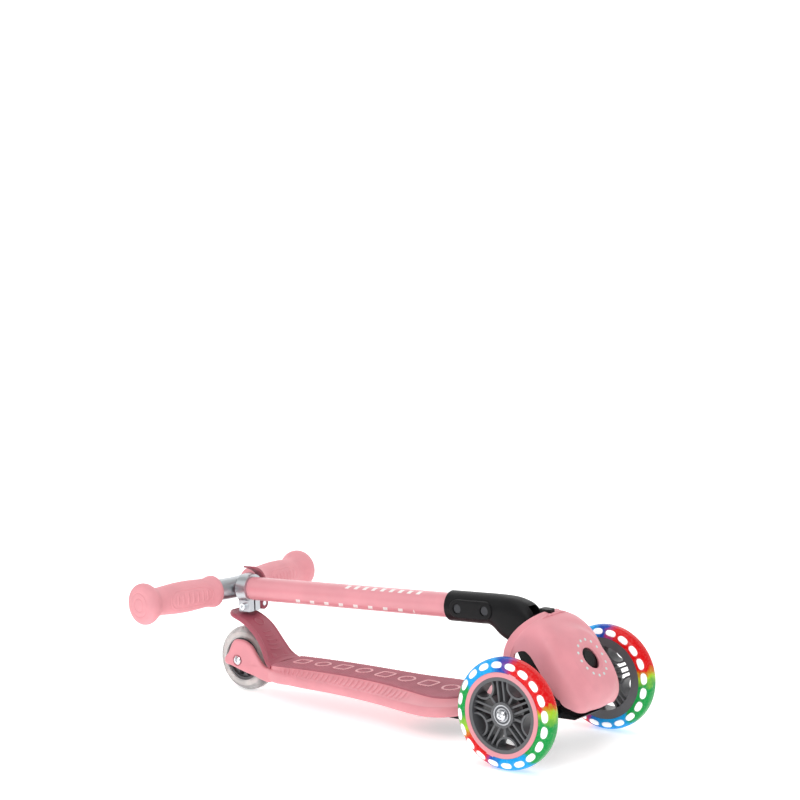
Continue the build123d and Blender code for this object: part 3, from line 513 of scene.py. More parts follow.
joints = {joint["name"]: joint for joint in frame["joints"]}
foldPivot = inAxleFrame(joints["fold"]["pos_m"])
slide = np.array(joints["bar_height"]["axis"], float)
stem = {
    "radius": 14.3,
    "abovePivot": 13.0,
    # first and last x, pitch, lowest and highest place round the tube from its top, width share
    "dashes": [(-300, -182, 13.0, 3.5, 9.5, 0.42), (-372, -190, 22.0, 29.0, 34.0, 0.3)],
}
stem["along"] = -slide / np.linalg.norm(slide)
stem["up"] = np.array((-stem["along"][2], 0, stem["along"][0]))
stem["origin"] = foldPivot + stem["abovePivot"] * stem["up"]
lights = {"count": 20, "phase": 0.39, "circle": 54.0, "long": 11.8, "deep": 5.8, "wide": 12.0, "radius": 60.5,
          "shoulder": 10.08}
# hours round the front wheels with their colours
tyreClock = [(0.0, "blue"), (0.5, "red"), (2.4, "red"), (2.7, "lime"), (3.1, "green"), (4.6, "green"),
             (4.9, "cyan"), (6.0, "cyan"), (6.5, "blue"), (6.75, "red"), (7.8, "red"), (8.2, "lime"),
             (8.8, "green"), (9.8, "green"), (10.1, "cyan"), (11.5, "cyan"), (11.9, "blue")]

finishes = [
    plastic("pinkPlastic", colours["pink"], 0.42),
    plastic("rosePlastic", colours["rose"], 0.42),
    plastic("lightPlastic", colours["lightPink"], 0.45),
    plastic("gripRubber", colours["gripPink"], 0.58, 0.0001),
    plastic("blackNylon", colours["black"], 0.42, 0.00012, 0.22),
    plastic("greyNylon", colours["darkGrey"], 0.36),
    plastic("whitePrint", linear(214, 226, 223), 0.5),
    pinkPaint(),
    rubberMat(),
    metal("alloy", linear(196, 200, 204), 0.3, (1, 1, 0.15)),
    metal("brightSteel", linear(226, 228, 231), 0.13),
    bearing("bearingRight", "front_bearings_right"),
    bearing("bearingLeft", "front_bearings_left"),
    metal("darkSteel", linear(74, 75, 78), 0.34),
    metal("springSteel", linear(160, 160, 162), 0.3),
    clearTyre(),
    glow(),
    litTyre("tyreRight", "front_core_right"),
    litTyre("tyreLeft", "front_core_left"),
]
finishes = {material.name: material for material in finishes}
print("finishes made:", len(finishes))


def finishPiece(piece, finish, body, slot, *nodes):
    # the piece's finish, the body it moves with and the nodes it stands in for; the colour slot is not used
    piece.data.materials.clear()
    piece.data.materials.append(finishes[finish])
    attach(piece, body)
    if nodes:
        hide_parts(*nodes)
    return piece


# frame nodes that keep their own shape
nodeFinishes = {
    "pinkPlastic": "deck nose_cover trim_ring_left trim_ring_right",
    "rosePlastic": "rear_brake quick_release_lever brake_rivets",
    "bearingLeft": "front_bearings_left",
    "bearingRight": "front_bearings_right",
    "roseRubber": "deck_mat",
    "pinkPaint": "stem_tube",
    "gripRubber": "grip_left grip_right",
    "blackNylon": "stem_socket front_frame knuckle_left knuckle_right tie_rod lock_button lock_housing "
                  "fold_button fold_guide",
    "greyNylon": "front_core_left front_core_right rear_core magnet_core_left magnet_core_right",
    "alloy": "collar t_joint handlebar inner_tube",
    "brightSteel": "front_axle_left front_axle_right rear_axle rear_axle_nut rear_bearings rear_spacers "
                   "clamp_bolt cam_washer cam_pin fold_pin brake_pin brake_plate",
    "darkSteel": "frame_screws cover_screws socket_screws socket_nuts kingpins tie_rod_pins",
    "springSteel": "brake_spring centring_springs lock_spring fold_spring",
    "clearUrethane": "rear_tyre",
    "whiteLight": "light_bars_left light_bars_right",
    "tyreLeft": "front_tyre_left",
    "tyreRight": "front_tyre_right",
}
for finish, names in nodeFinishes.items():
    for name in names.split():
        slots = frame["nodes"][name].data.materials
        slots.clear()
        slots.append(finishes[finish])

# camera, floor and light

view = {
    "place": (1103.2, -1780.3, 582.5), "ahead": (-0.59361, 0.79930, -0.09349), "lens": 86.7, "sensor": 36,
}
sweep = {"half": 9.0, "near": -7.0, "turn": 3.2, "radius": 1.6, "tall": 6.0, "low": -0.0004, "angle": 36.6}
studio = {
    "glow": 0.5, "world": 0.52, "target": (0, 0, 0.08),
    # place, size and power
    "keyLight": ((0.75, -1.5, 1.5), 0.9, 11.5), "fillLight": ((-1.5, -1.2, 1.2), 1.2, 3),
}


def makeView():
    camera = newObject("camera", bpy.data.cameras.new("camera"))
    camera.data.lens = view["lens"]
    camera.data.sensor_width = view["sensor"]
    camera.data.clip_end = 50
    camera.location = place(view["place"])
    camera.rotation_euler = Vector(view["ahead"]).to_track_quat("-Z", "Y").to_euler()
    bpy.context.scene.camera = camera


def makeLight(name, spot, target, size, power):
    lamp = newObject(name, bpy.data.lights.new(name, "AREA"))
    lamp.data.size = size
    lamp.data.energy = power
    lamp.location = spot
    lamp.rotation_euler = (Vector(target) - Vector(spot)).to_track_quat("-Z", "Y").to_euler()


def makeStudio():
    # a floor that curves up behind into a wall
    a = np.linspace(-pi / 2, 0, 13)
    line = [(y, sweep["low"]) for y in np.linspace(sweep["near"], sweep["turn"], 5)[:-1]]
    line += [(sweep["turn"] + sweep["radius"] * cos(t), sweep["low"] + sweep["radius"] * (1 + sin(t))) for t in a]
    line += [(sweep["turn"] + sweep["radius"], sweep["tall"])]
    line = np.array(line)
    across = np.linspace(-sweep["half"], sweep["half"], 5)
    points = np.array([[(x, y, z) for x in across] for y, z in line])
    turn = radians(sweep["angle"])                        # square to the camera
    flat = points[..., 0] * cos(turn) - points[..., 1] * sin(turn)
    points[..., 1] = points[..., 0] * sin(turn) + points[..., 1] * cos(turn)
    points[..., 0] = flat
    mesh = bpy.data.meshes.new("floor")
    mesh.from_pydata(points.reshape(-1, 3).tolist(), [], gridFaces(len(line), 5))
    mesh.polygons.foreach_set("use_smooth", np.ones(len(mesh.polygons), bool))
    paper = Finish("paleFloor", Base_Color=(0.95, 0.95, 0.95, 1), Roughness=0.9, Emission_Color=(1, 1, 1, 1),
                   Emission_Strength=studio["glow"])
    mesh.materials.append(paper.material)
    newObject("floor", mesh)
    world = bpy.data.worlds.new("studio")
    bpy.context.scene.world = world
    world.use_nodes = True
    background = world.node_tree.nodes["Background"].inputs
    background["Color"].default_value = (1, 1, 1, 1)
    background["Strength"].default_value = studio["world"]
    for name in ("keyLight", "fillLight"):
        spot, size, power = studio[name]
        makeLight(name, spot, studio["target"], size, power)
    makeLight("wallLight", (0, 0.2, 3.0), (-1.0, 1.4, 0.0), 2.5, 26)
    bpy.context.scene.view_settings.view_transform = "Standard"


makeView()
makeStudio()
print("camera and studio set")

# deck, its arms and its mat

deck = {
    # x with the half width of the side, and of the mat's edge
    "sides": [(-404, 25.4), (-395, 30.2), (-382, 36.6), (-365, 42.6), (-345, 47.2), (-320, 50.3), (-290, 51.8),
              (-254, 54.4), (-225, 57.6), (-199, 61.6), (-175, 66.4), (-157, 69.2), (-144, 70.3)],
    "matSides": [(-404, 23.5), (-391, 28.8), (-370, 29.6), (-330, 28.8), (-290, 28.6), (-250, 29.2), (-216, 31.4),
                 (-190, 35.4), (-170, 39.6), (-155, 42.8), (-144, 44)],
    "corner": 42.0, "matFront": -116.0, "matCorner": 30.0, "cornerPoints": 44, "frontPoints": 15,
    "bottom": [(-404, 21.5), (-380, 23.5), (-355, 26.2), (-335, 27.0), (-102, 27.0)],
    "top": [(-404, 42.4), (-385, 43.2), (-330, 45.4), (-250, 46.2), (-190, 45.0), (-140, 44.0), (-102, 43.4)],
    # how far in from the side with the height above the bottom, then below the crease
    "foot": [(13, 10), (8.6, 10), (8.3, 1), (7.6, 0.2), (6.4, 0), (4.2, 0.2), (2.3, 1.0), (0.9, 2.4), (0.2, 4.4)],
    "brow": [(0, 4.6), (0.15, 3.0), (0.6, 1.6), (1.4, 0.6), (2.4, 0.05)],
    "crease": 39.4, "creaseDrop": 1.2, "creaseIn": 3.2, "bandRings": 30, "bandHollow": 0.7,
    "ribPitch": 7.6, "ribSlant": 6.5, "ribHeight": 1.25, "ribEnds": (-382, -366, -180, -164),
    "matRear": -392.5, "matRise": 1.7,
    # ribs under the deck
    "crossRibs": 6, "rear": -406.5, "inside": 304.5, "ribHalf": 1.5, "ribRoom": 8.0,
    "ribLow": 28.5, "ribHigh": 38.0,
    "longRibs": [(0, -400, -112), (32, -372, -125), (-32, -372, -125)],
}


def deckHalves(count=420):
    # the side is a graph of x, a quarter circle and a straight front, from the rear left to the middle of the
    # front, and the mat's edge has a point beside each of the side's
    x = np.linspace(deck["sides"][0][0], deck["sides"][-1][0], count)
    side = np.c_[x, graph(deck["sides"], x)]
    mat = np.c_[x, graph(deck["matSides"], x)]
    a = np.linspace(pi / 2, 0, deck["cornerPoints"])[1:]
    wide, matWide = side[-1, 1], mat[-1, 1]
    r, q = deck["corner"], deck["matCorner"]
    side = np.vstack([side, np.c_[x[-1] + r * np.cos(a), wide - r + r * np.sin(a)]])
    mat = np.vstack([mat, np.c_[x[-1] + (deck["matFront"] - x[-1]) * np.cos(a), matWide - q + q * np.sin(a)]])
    share = np.linspace(1, 0, deck["frontPoints"] + 1)[1:]
    side = np.vstack([side, np.c_[np.full_like(share, side[-1, 0]), side[-1, 1] * share]])
    mat = np.vstack([mat, np.c_[np.full_like(share, mat[-1, 0]), mat[-1, 1] * share]])
    return side, mat


def wholeOutline(half):
    return np.vstack([half, (half * (1, -1))[-2::-1]])


def insetLine(line, distance):
    # an open outline moved inwards, at right angles to itself
    along = np.gradient(line, axis=0)
    along /= np.maximum(np.linalg.norm(along, axis=1), 1e-9)[:, None]
    return line + np.stack([along[:, 1], -along[:, 0]], 1) * distance


def ladder(columns, row):
    # fills a symmetrical outline with bars from side to side
    i = np.arange(columns // 2 - 1) + row * columns
    other = columns - 1 - np.arange(columns // 2 - 1) + row * columns
    return np.stack([i, i + 1, other - 1, other], 1).tolist()


def ribBar(low, high):
    return loftPiece("deckRib", padRings(boxLoop(low, high, 6), deck["ribLow"], deck["ribHigh"], 0.6, 3))


def makeDeck():
    # rings round the outline, each moved in and up: over the foot, up the side to the crease, then a share of
    # the way to the mat's edge along a hollow curve with slanted ribs, whose height is a clipped cosine of x
    side, mat = (wholeOutline(half) for half in deckHalves())
    low, high = graph(deck["bottom"], side[:, 0]), graph(deck["top"], mat[:, 0])
    crease = deck["crease"] - deck["creaseDrop"] * ease(-side[:, 0], 340, 400)
    rings = [np.c_[insetLine(side, inset), low + above] for inset, above in deck["foot"]]
    rings += [np.c_[insetLine(side, inset), crease - below] for inset, below in deck["brow"]]
    start = insetLine(side, deck["creaseIn"])
    rearLow, rearHigh, frontLow, frontHigh = deck["ribEnds"]
    for b in np.linspace(0, 1, deck["bandRings"]):
        spot = start + (mat - start) * b
        climb = high - 0.4 - crease
        rise = crease + 0.15 + climb * (0.72 * b + 0.28 * b**3) - deck["bandHollow"] * sin(pi * b)
        phase = (spot[:, 0] + deck["ribSlant"] * b) / deck["ribPitch"]
        rib = np.clip(2.2 * np.cos(2 * pi * phase) + 0.2, 0, 1)
        rib *= ease(b, 0.06, 0.16) * (1 - ease(b, 0.8, 0.92))
        rib *= ease(spot[:, 0], rearLow, rearHigh) * (1 - ease(spot[:, 0], frontLow, frontHigh))
        rings.append(np.c_[spot, rise + deck["ribHeight"] * rib])
    # a lip at the mat's edge and a groove inside it
    for inset, below in ((0, -0.1), (0.9, 0.2), (1.1, 1.1)):
        rings.append(np.c_[insetLine(mat, inset), high - below])
    grid = np.array(rings)
    rows, columns = grid.shape[:2]
    faces = gridFaces(rows, columns) + ladder(columns, 0) + ladder(columns, rows - 1)
    rear = [row * columns for row in range(rows)]
    faces.append(rear + [i + columns - 1 for i in reversed(rear)])
    pieces = [makePiece("deckShell", grid.reshape(-1, 3), faces, 40)]
    thick = deck["ribHalf"]                               # ribs under the deck, across and then along
    for step in range(1, deck["crossRibs"] + 1):
        x = deck["rear"] + step / (deck["crossRibs"] + 1) * deck["inside"]
        half = float(graph(deck["sides"], np.array([x]))[0]) - deck["ribRoom"]
        pieces.append(ribBar((x - thick, -half), (x + thick, half)))
    pieces += [ribBar((rear, y - thick), (front, y + thick)) for y, rear, front in deck["longRibs"]]
    return finishPiece(joined("deckShell", pieces), "pinkPlastic", "chassis", "pink_plastic", "deck")


forkArm = {
    # x and z round the arm
    "outline": [(-394, 38.0), (-404, 38.4), (-411, 40.4), (-419, 46.4), (-426, 54.0), (-433, 61.0), (-442, 65.0),
                (-452, 65.8), (-457.4, 65.2), (-460.3, 62.4), (-467.4, 49.0), (-474.2, 37.6), (-473.2, 34.6),
                (-464, 32.2), (-444, 27.2), (-427, 24.0), (-411, 21.6), (-394, 22.6)],
    "inner": 15.6, "outer": 22.6, "rounding": 2.4, "flare": 6.0, "flareFrom": -430, "flareTo": -394,
    "wellRadius": 7.2, "wellFace": 20.8,
}


def makeArms():
    # a rounded pad of the outline whose y grows with an eased step of x, where it runs into the deck
    outline = smoothLine(forkArm["outline"], 190, closed=True)
    rings = padRings(outline, forkArm["inner"], forkArm["outer"], forkArm["rounding"], 6)
    last = rings[-1].mean(axis=0)
    inside = []
    for share in (0.8, 0.55):
        loop = rings[-1].copy()
        loop[:, :2] = last[:2] + (loop[:, :2] - last[:2]) * share
        inside.append(loop)
    rings = np.concatenate([rings, np.array(inside)])
    x, z, y = rings[..., 0], rings[..., 1], rings[..., 2]
    spread = forkArm["flare"] * ease(x, forkArm["flareFrom"], forkArm["flareTo"])
    arm = loftPiece("forkArmLeft", np.stack([x, y + spread, z], -1), 50)
    bolt = centreOf("rear_axle")
    well = turnedRings([(forkArm["wellRadius"], forkArm["wellFace"]), (forkArm["wellRadius"], 26)], 48)
    cutBy(arm, loftPiece("boltWell", toAxes(well, (bolt[0], 0, bolt[2]), (1, 0, 0), (0, 0, 1), (0, 1, 0))))
    for piece in (arm, mirrorCopy(arm, "forkArmRight")):
        finishPiece(piece, "pinkPlastic", "chassis", "pink_plastic", "deck")


mat = {"pitch": 3.3, "height": 0.7, "across": 141, "along": 460, "in": 0.9, "skirt": 2.2, "drop": 1.3}


def makeMat():
    # across the mat y is a share of its half width; the height is a clipped sum of two cosines, in x and in y,
    # which makes rows of dots, and falls away near the edge
    edge = deckHalves(mat["along"])[1]
    edge = edge[edge[:, 0] >= deck["matRear"]][:1 - deck["frontPoints"]] - (0, mat["in"])
    edge = edge[edge[:, 1] > 2]
    share = np.linspace(-1, 1, mat["across"])
    x = np.repeat(edge[:, :1], len(share), 1)
    y = edge[:, 1:] * share
    base = graph(deck["top"], edge[:, 0])[:, None] + deck["matRise"]
    row = np.cos(2 * pi * x / mat["pitch"])
    column = np.cos(2 * pi * y / (mat["pitch"] * 1.25) + pi * np.round(x / mat["pitch"]))
    dots = mat["height"] * np.clip(0.75 * row + 0.35 * column + 0.3, 0, 1)
    rim = np.minimum(edge[:, 1:] - np.abs(y), np.minimum(x - x.min(), x.max() - x))
    z = base + dots * ease(rim, 0.8, 1.8) - mat["drop"] * (1 - np.clip(rim, 0, 1)) ** 2
    top = np.stack([x, y, z], -1)
    under = top[:, [-1, 0]].copy()
    under[..., 2] = base - mat["skirt"]
    piece = loftPiece("matTop", np.concatenate([top, under], 1), 60)
    return finishPiece(piece, "roseRubber", "chassis", "mat_rubber", "deck_mat")


matShapes = {
    "first": -366.0, "last": -146.0, "count": 8, "long": 10.2, "wide": (17.0, 4.0), "wideShare": 0.62,
    "squareness": (5.0, 2.0), "rise": 0.85, "seat": 0.3,
    # how far in from the outline with the height above the mat
    "line": [(0, -1.0), (0, 0.55), (0.35, 0.85), (2.2, 0.85), (2.55, 0.55), (2.55, -1.0)],
}


def squaredOval(a, power):
    # the cosine and sine of a turn, each raised to 2 / power with its sign kept
    c, s = np.cos(a), np.sin(a)
    return np.sign(c) * np.abs(c) ** (2 / power), np.sign(s) * np.abs(s) ** (2 / power)


def makeMatShapes():
    # plain raised outlines, square and round in turn: squared ovals with a low rounded section
    pieces = []
    for k in range(matShapes["count"]):
        share = k / (matShapes["count"] - 1)
        middleX = matShapes["first"] + (matShapes["last"] - matShapes["first"]) * share
        wide = matShapes["wide"][0] + matShapes["wide"][1] * share
        c, s = squaredOval(turns(72), matShapes["squareness"][k % 2])
        loop = np.c_[c * matShapes["long"] + middleX, s * wide * matShapes["wideShare"]]
        rings = []
        for inset, height in matShapes["line"]:
            line = insetLoop(loop, inset)
            seat = graph(deck["top"], line[:, 0]) + deck["matRise"] + matShapes["seat"]
            rings.append(np.c_[line, seat + height * matShapes["rise"]])
        pieces.append(loftPiece("matShape", np.array(rings), 40, closed=True))
    return finishPiece(joined("matShapes", pieces), "lightPlastic", "chassis", "mat_rubber")


makeDeck()
makeArms()
makeMat()
makeMatShapes()
print("deck, arms and mat made")

# rear brake

brake = {
    # x and z along the top, then the distance along it with the half width
    "path": [(-391.6, 45.4), (-396, 47.0), (-402, 51.4), (-408.5, 59.8), (-416, 69.4), (-424.5, 78.6),
             (-434.5, 86.6), (-446, 92.8), (-458, 96.6), (-469, 98.4), (-475.6, 98.9)],
    "widths": [(0, 30.5), (6, 28.8), (14, 25.4), (26, 22.6), (60, 21.6), (120, 21.4)],
    "thick": 4.2, "crown": 1.6, "crownAt": 22.0, "tip": 22.0, "rows": 149, "tipRows": 34, "across": 71,
    "rim": 3.4, "ringAt": 62.0, "ringRadius": 6.4, "ridgeFirst": 19.0, "ridgeStep": 6.2, "ridges": 5,
    "ridgeHalf": 12.5, "ridgeTaper": 1.1, "ridgeSag": 0.018, "footLine": 8.5,
    "relief": 0.85, "ridgeHeight": 0.9, "footHeight": 0.5,
    # x and z round the hinge lug
    "lug": [(-407.6, 55), (-406.8, 46), (-406.4, 38.5), (-403, 35.2), (-399.6, 36), (-398.4, 40), (-397.5, 45.5),
            (-402, 51.5)],
    "lugInner": 7.2, "lugOuter": 15.0,
}


def makeBrake():
    # a plate carried along the path: y is a share of a half width that closes as a cosine at the tip, the top
    # and underside are quarter circles near the edge, and lines, a ring and curved ridges stand on the top
    line = smoothLine(brake["path"], 260)
    s = np.r_[0, np.cumsum(np.linalg.norm(np.diff(line, axis=0), axis=1))]
    total = s[-1]
    a = np.linspace(0, radians(86), brake["tipRows"])
    straight = total - brake["tip"]
    rows = np.r_[np.linspace(0, straight, brake["rows"] + 1)[:-1], straight + brake["tip"] * np.sin(a)]
    wide = graph(brake["widths"], rows) * np.r_[np.ones(brake["rows"]), np.cos(a)] ** 0.85
    x, z = np.interp(rows, s, line[:, 0]), np.interp(rows, s, line[:, 1])
    tx, tz = np.gradient(x, rows), np.gradient(z, rows)
    size = np.hypot(tx, tz)
    nx, nz = -tz / size, tx / size
    nx, nz = np.where(nz < 0, -nx, nx), np.abs(nz)
    t = np.linspace(-1, 1, brake["across"])
    y = wide[:, None] * np.sign(t) * (1 - (1 - np.abs(t)) ** 1.35)
    edge = np.minimum(wide[:, None] - np.abs(y), (total - rows)[:, None])
    body = rows[:, None] + 0 * y
    detail = brake["relief"] * ridge(edge - brake["rim"], 0.8) * ease(body, 5, 10)
    detail += brake["relief"] * ridge(np.hypot(body - brake["ringAt"], y) - brake["ringRadius"], 0.8) * (edge > 2)
    for k in range(brake["ridges"]):
        reach = brake["ridgeHalf"] - brake["ridgeTaper"] * k
        at = brake["ridgeFirst"] + brake["ridgeStep"] * k + brake["ridgeSag"] * y**2
        detail += brake["ridgeHeight"] * ridge(body - at, 0.85) * (1 - ease(np.abs(y), reach - 1.5, reach))
    detail += brake["footHeight"] * ridge(body - (brake["footLine"] - 0.1 * np.abs(y)), 0.8) * ease(edge, 1.5, 3)
    half = brake["thick"] / 2
    lip = half * (1 - (1 - np.clip(edge / half, 0, 1)) ** 2) ** 0.5
    fall = brake["crown"] * (np.abs(y) / brake["crownAt"]) ** 2
    faces = []
    for height in (lip + detail - half - fall, -lip - half - fall):
        faces.append(np.stack([x[:, None] + nx[:, None] * height, y, z[:, None] + nz[:, None] * height], -1))
    pieces = [loftPiece("brakeShoe", np.concatenate([faces[0], faces[1][:, ::-1]], 1), 50)]
    outline = smoothLine(brake["lug"], 48, closed=True)
    for low, high in ((-brake["lugOuter"], -brake["lugInner"]), (brake["lugInner"], brake["lugOuter"])):
        pieces.append(loftPiece("brakeLug", padRings(outline, low, high, 0.9, 4)[..., [0, 2, 1]]))
    return finishPiece(joined("brakeShoe", pieces), "rosePlastic", "brake", "rose_plastic", "rear_brake")


makeBrake()
print("brake made")

# nose cover

cover = {
    # matching points: x and z down the middle, then x, y and z round the side's edge
    "lines": [(-14.5, 152.5, -44, 47.5, 46), (-12, 151.5, -38.5, 48, 45.5), (-10, 150.6, -33.6, 48.5, 46.5),
              (-8, 149.8, -33, 49.5, 75), (-6, 149, -33, 49.5, 98), (-3, 147.6, -29, 49, 110),
              (3, 144.6, -18, 49, 115.5), (12, 139, -8, 49.5, 111.5), (24, 128.5, 2, 50.5, 101),
              (36, 111.5, 11, 51, 89), (47, 97, 18.5, 50.8, 79.5), (54.8, 84.5, 25, 49.4, 71.5),
              (58.2, 71.5, 30, 47, 65), (57.4, 61, 34.5, 44, 60), (53, 53, 39, 41, 57.5)],
    "rows": 190, "columns": 96, "points": 400, "power": 3.7, "wide": 49, "tall": 44, "wall": 2.4,
    "notch": (0.045, 7.4), "shoulder": 46, "turnAt": (0.3, 0.52),
    "facePower": 2.1, "valley": 1.3, "faceHalf": (35.0, 44.0), "faceLow": -6.0, "faceFrom": (-6, 10),
}
button = {"tilt": 29.0, "radius": 12.3, "gap": 0.45, "well": 14.6, "wellDeep": 1.5,
          "marks": 14, "markCircle": 21.5}


def buttonFrame():
    # the middle of the button's face, the way it faces and the way up it
    knob = centreOf("lock_button")
    a = radians(button["tilt"])
    out, rise = np.array((cos(a), 0, sin(a))), np.array((-sin(a), 0, cos(a)))
    local = cornersOf("lock_button") - knob
    middleRise = ((local @ rise).max() + (local @ rise).min()) / 2
    return knob + out * (local @ out).max() + rise * middleRise, out, rise


def evenTurns(power, wide, tall, count):
    # turns of a squared quarter oval that are evenly spaced along it
    turn = np.linspace(0, pi / 2, 6000)
    line = np.c_[wide * np.sin(turn) ** (2 / power), tall * (1 - np.cos(turn) ** (2 / power))]
    run = np.r_[0, np.cumsum(np.linalg.norm(np.diff(line, axis=0), axis=1))]
    return np.interp(np.linspace(0, run[-1], count), run, turn)


def coverSurface():
    # each row is a quarter of a squared oval, from the middle line out to the side's edge
    lines = smoothLine(cover["lines"], cover["points"])
    turn = evenTurns(cover["power"], cover["wide"], cover["tall"], cover["columns"])
    across = np.sin(turn) ** (2 / cover["power"])
    down = 1 - np.cos(turn) ** (2 / cover["power"])
    deep, half = cover["notch"]                           # the rear rim starts later behind the fold button
    start = deep * (1 - ease(cover["wide"] * across, half - 0.8, half + 0.8))
    u = np.linspace(0, 1, cover["rows"])[:, None]
    u = start + (1 - start) * u
    x0, z0, x1, y1, z1 = (np.interp(u, np.linspace(0, 1, cover["points"]), lines[:, k]) for k in range(5))
    fall = (z0 - z1) * down
    back = 1 - (1 - np.clip(fall / cover["shoulder"], 0, 1)) ** 2
    share = ease(u, *cover["turnAt"])
    drift = back * (1 - share) + down * share
    return np.stack([x0 + (x1 - x0) * drift, y1 * across, z0 - fall], -1)


def surfaceNormals(grid):
    normal = np.cross(np.gradient(grid, axis=0), np.gradient(grid, axis=1))
    normal /= np.maximum(np.linalg.norm(normal, axis=-1), 1e-9)[..., None]
    outside = grid - np.array((0, 0, 80.0))
    return normal * np.sign((normal * outside).sum(-1))[..., None]


def makeCover():
    # the surface is pushed along its normals: out over an oval face, in round it and in round the button
    half = coverSurface()
    grid = np.concatenate([half[:, :0:-1] * (1, -1, 1), half], 1)
    face, out, rise = buttonFrame()
    sideways = np.array((0, 1.0, 0))
    v, y = (grid - face) @ rise, grid[..., 1]
    faceY, faceV = cover["faceHalf"]
    oval = np.hypot(y / faceY, (v - cover["faceLow"]) / faceV)
    r = np.hypot(y, v)
    push = cover["facePower"] * (1 - ease(oval, 0.86, 1.1)) - cover["valley"] * ridge(oval - 1.2, 0.13)
    push -= button["wellDeep"] * (1 - ease(r, button["well"] - 0.6, button["well"] + 1.0))
    push *= ease(grid[..., 0], *cover["faceFrom"])
    grid = grid + surfaceNormals(grid) * push[..., None]
    points, normals = grid.reshape(-1, 3), surfaceNormals(grid).reshape(-1, 3)
    r, y, v = r.ravel(), y.ravel(), v.ravel()
    # leave out the faces inside the button's hole and draw the edge of the rest out to a true circle
    hole = button["radius"] + button["gap"]
    inside = (r < hole) & (points[:, 0] > 0)
    faces = np.array(gridFaces(*grid.shape[:2]))
    faces = faces[inside[faces].sum(1) < 3]
    grow = np.where(inside, hole / np.maximum(r, 1e-6) - 1, 0)
    rim = points + (v * grow)[:, None] * rise + (y * grow)[:, None] * sideways
    used, faces = np.unique(faces, return_inverse=True)
    piece = makePiece("noseShell", rim[used], faces.reshape(-1, 4).tolist(), 60)
    useModifier(piece, "SOLIDIFY", thickness=cover["wall"] * mm, offset=-1, use_even_offset=False)
    marks = []
    for k in range(button["marks"]):
        a = 2 * pi * (k + 0.5) / button["marks"]
        spot = face + button["markCircle"] * (rise * cos(a) + sideways * sin(a))
        local = rim - spot
        i = np.argmin(((local - (local @ out)[:, None] * out) ** 2).sum(-1))
        n = normals[i]
        side = np.cross(n, rise)
        side /= np.linalg.norm(side)
        seat = spot + out * ((rim[i] - spot) @ n) / (out @ n)
        dot = turnedRings([(1.75, -1.0), (1.75, 0.16), (1.35, 0.34), (0.6, 0.4)], 20)
        marks.append(loftPiece("mark", toAxes(dot, seat, side, np.cross(n, side), n)))
    finishPiece(joined("coverMarks", marks), "whitePrint", "chassis", "pink_plastic")
    return finishPiece(piece, "pinkPlastic", "chassis", "pink_plastic", "nose_cover")


makeCover()
print("nose cover made")

# elbow on the end of the stem

elbow = {
    # along and above the tube: the upper and the lower line of the elbow, its half width and squareness
    "stations": [(-88.2, 17.5, -88.2, -17.5, 17.5, 2.0), (-70, 17.5, -70, -17.5, 17.5, 2.0),
                 (-46, 17.5, -46, -17.6, 17.5, 2.0), (-27, 17.4, -34, -17.8, 17.6, 2.1),
                 (-12, 16.8, -26.0, -21.6, 17.8, 2.4), (-1, 15.6, -18.5, -27.6, 17.9, 2.8),
                 (9, 13.0, -11, -31.8, 17.9, 3.0), (17, 9.8, -4, -34.8, 17.8, 3.0),
                 (23.5, 4.2, 3.4, -36.6, 17.4, 3.0), (27.6, -3.0, 9.2, -37.2, 16.8, 3.0),
                 (29.0, -12, 13.6, -36.0, 16.2, 3.0)],
    # rounding at the mouth as place and radius, and at the nose as share and step forward
    "mouth": [(-88.9, 15.4), (-89.0, 16.2), (-88.9, 16.9), (-88.6, 17.35)],
    "nose": [(0.93, 1.0), (0.8, 1.8), (0.6, 2.3)], "noseWay": (0.96, -0.28),
    "screws": (-70.0, -33.0), "padHalf": 10.4, "padFace": -18.7, "padRoot": -9.0,
    "wellRadius": 5.5, "wellFloor": 14.7,
    # the room for the tongue: half width, the turns it sweeps through, reach, half height, and round the pin
    "slot": 7.45, "sweep": (-59, 25), "reach": 64, "tongueHalf": 17.6, "pinRoom": 14.4,
}
stemAxes = (stem["along"], np.array((0.0, 1.0, 0.0)), stem["up"])


def inStem(points):
    return toAxes(points, stem["origin"], *stemAxes)


def ovalRings(stations, sides=88):
    # squared ovals that stand on the lower line, reach the upper line and are as wide as given
    wide, tall = squaredOval(turns(sides), stations[:, 5:6])
    centre = (stations[:, 0:2] + stations[:, 2:4]) / 2
    reach = (stations[:, 0:2] - stations[:, 2:4]) / 2
    return np.stack([centre[:, :1] + reach[:, :1] * tall, wide * stations[:, 4:5],
                     centre[:, 1:] + reach[:, 1:] * tall], -1)


def sectorLoop(centre, start, end, reach, half):
    # the space a straight arm sweeps through as it turns
    a, b = radians(start), radians(end)
    points = [(centre[0] + half * sin(a), centre[1] - half * cos(a))]
    points += [(centre[0] + reach * cos(t), centre[1] + reach * sin(t)) for t in np.linspace(a, b, 24)]
    points += [(centre[0] - half * sin(b), centre[1] + half * cos(b))]
    return np.array(points)


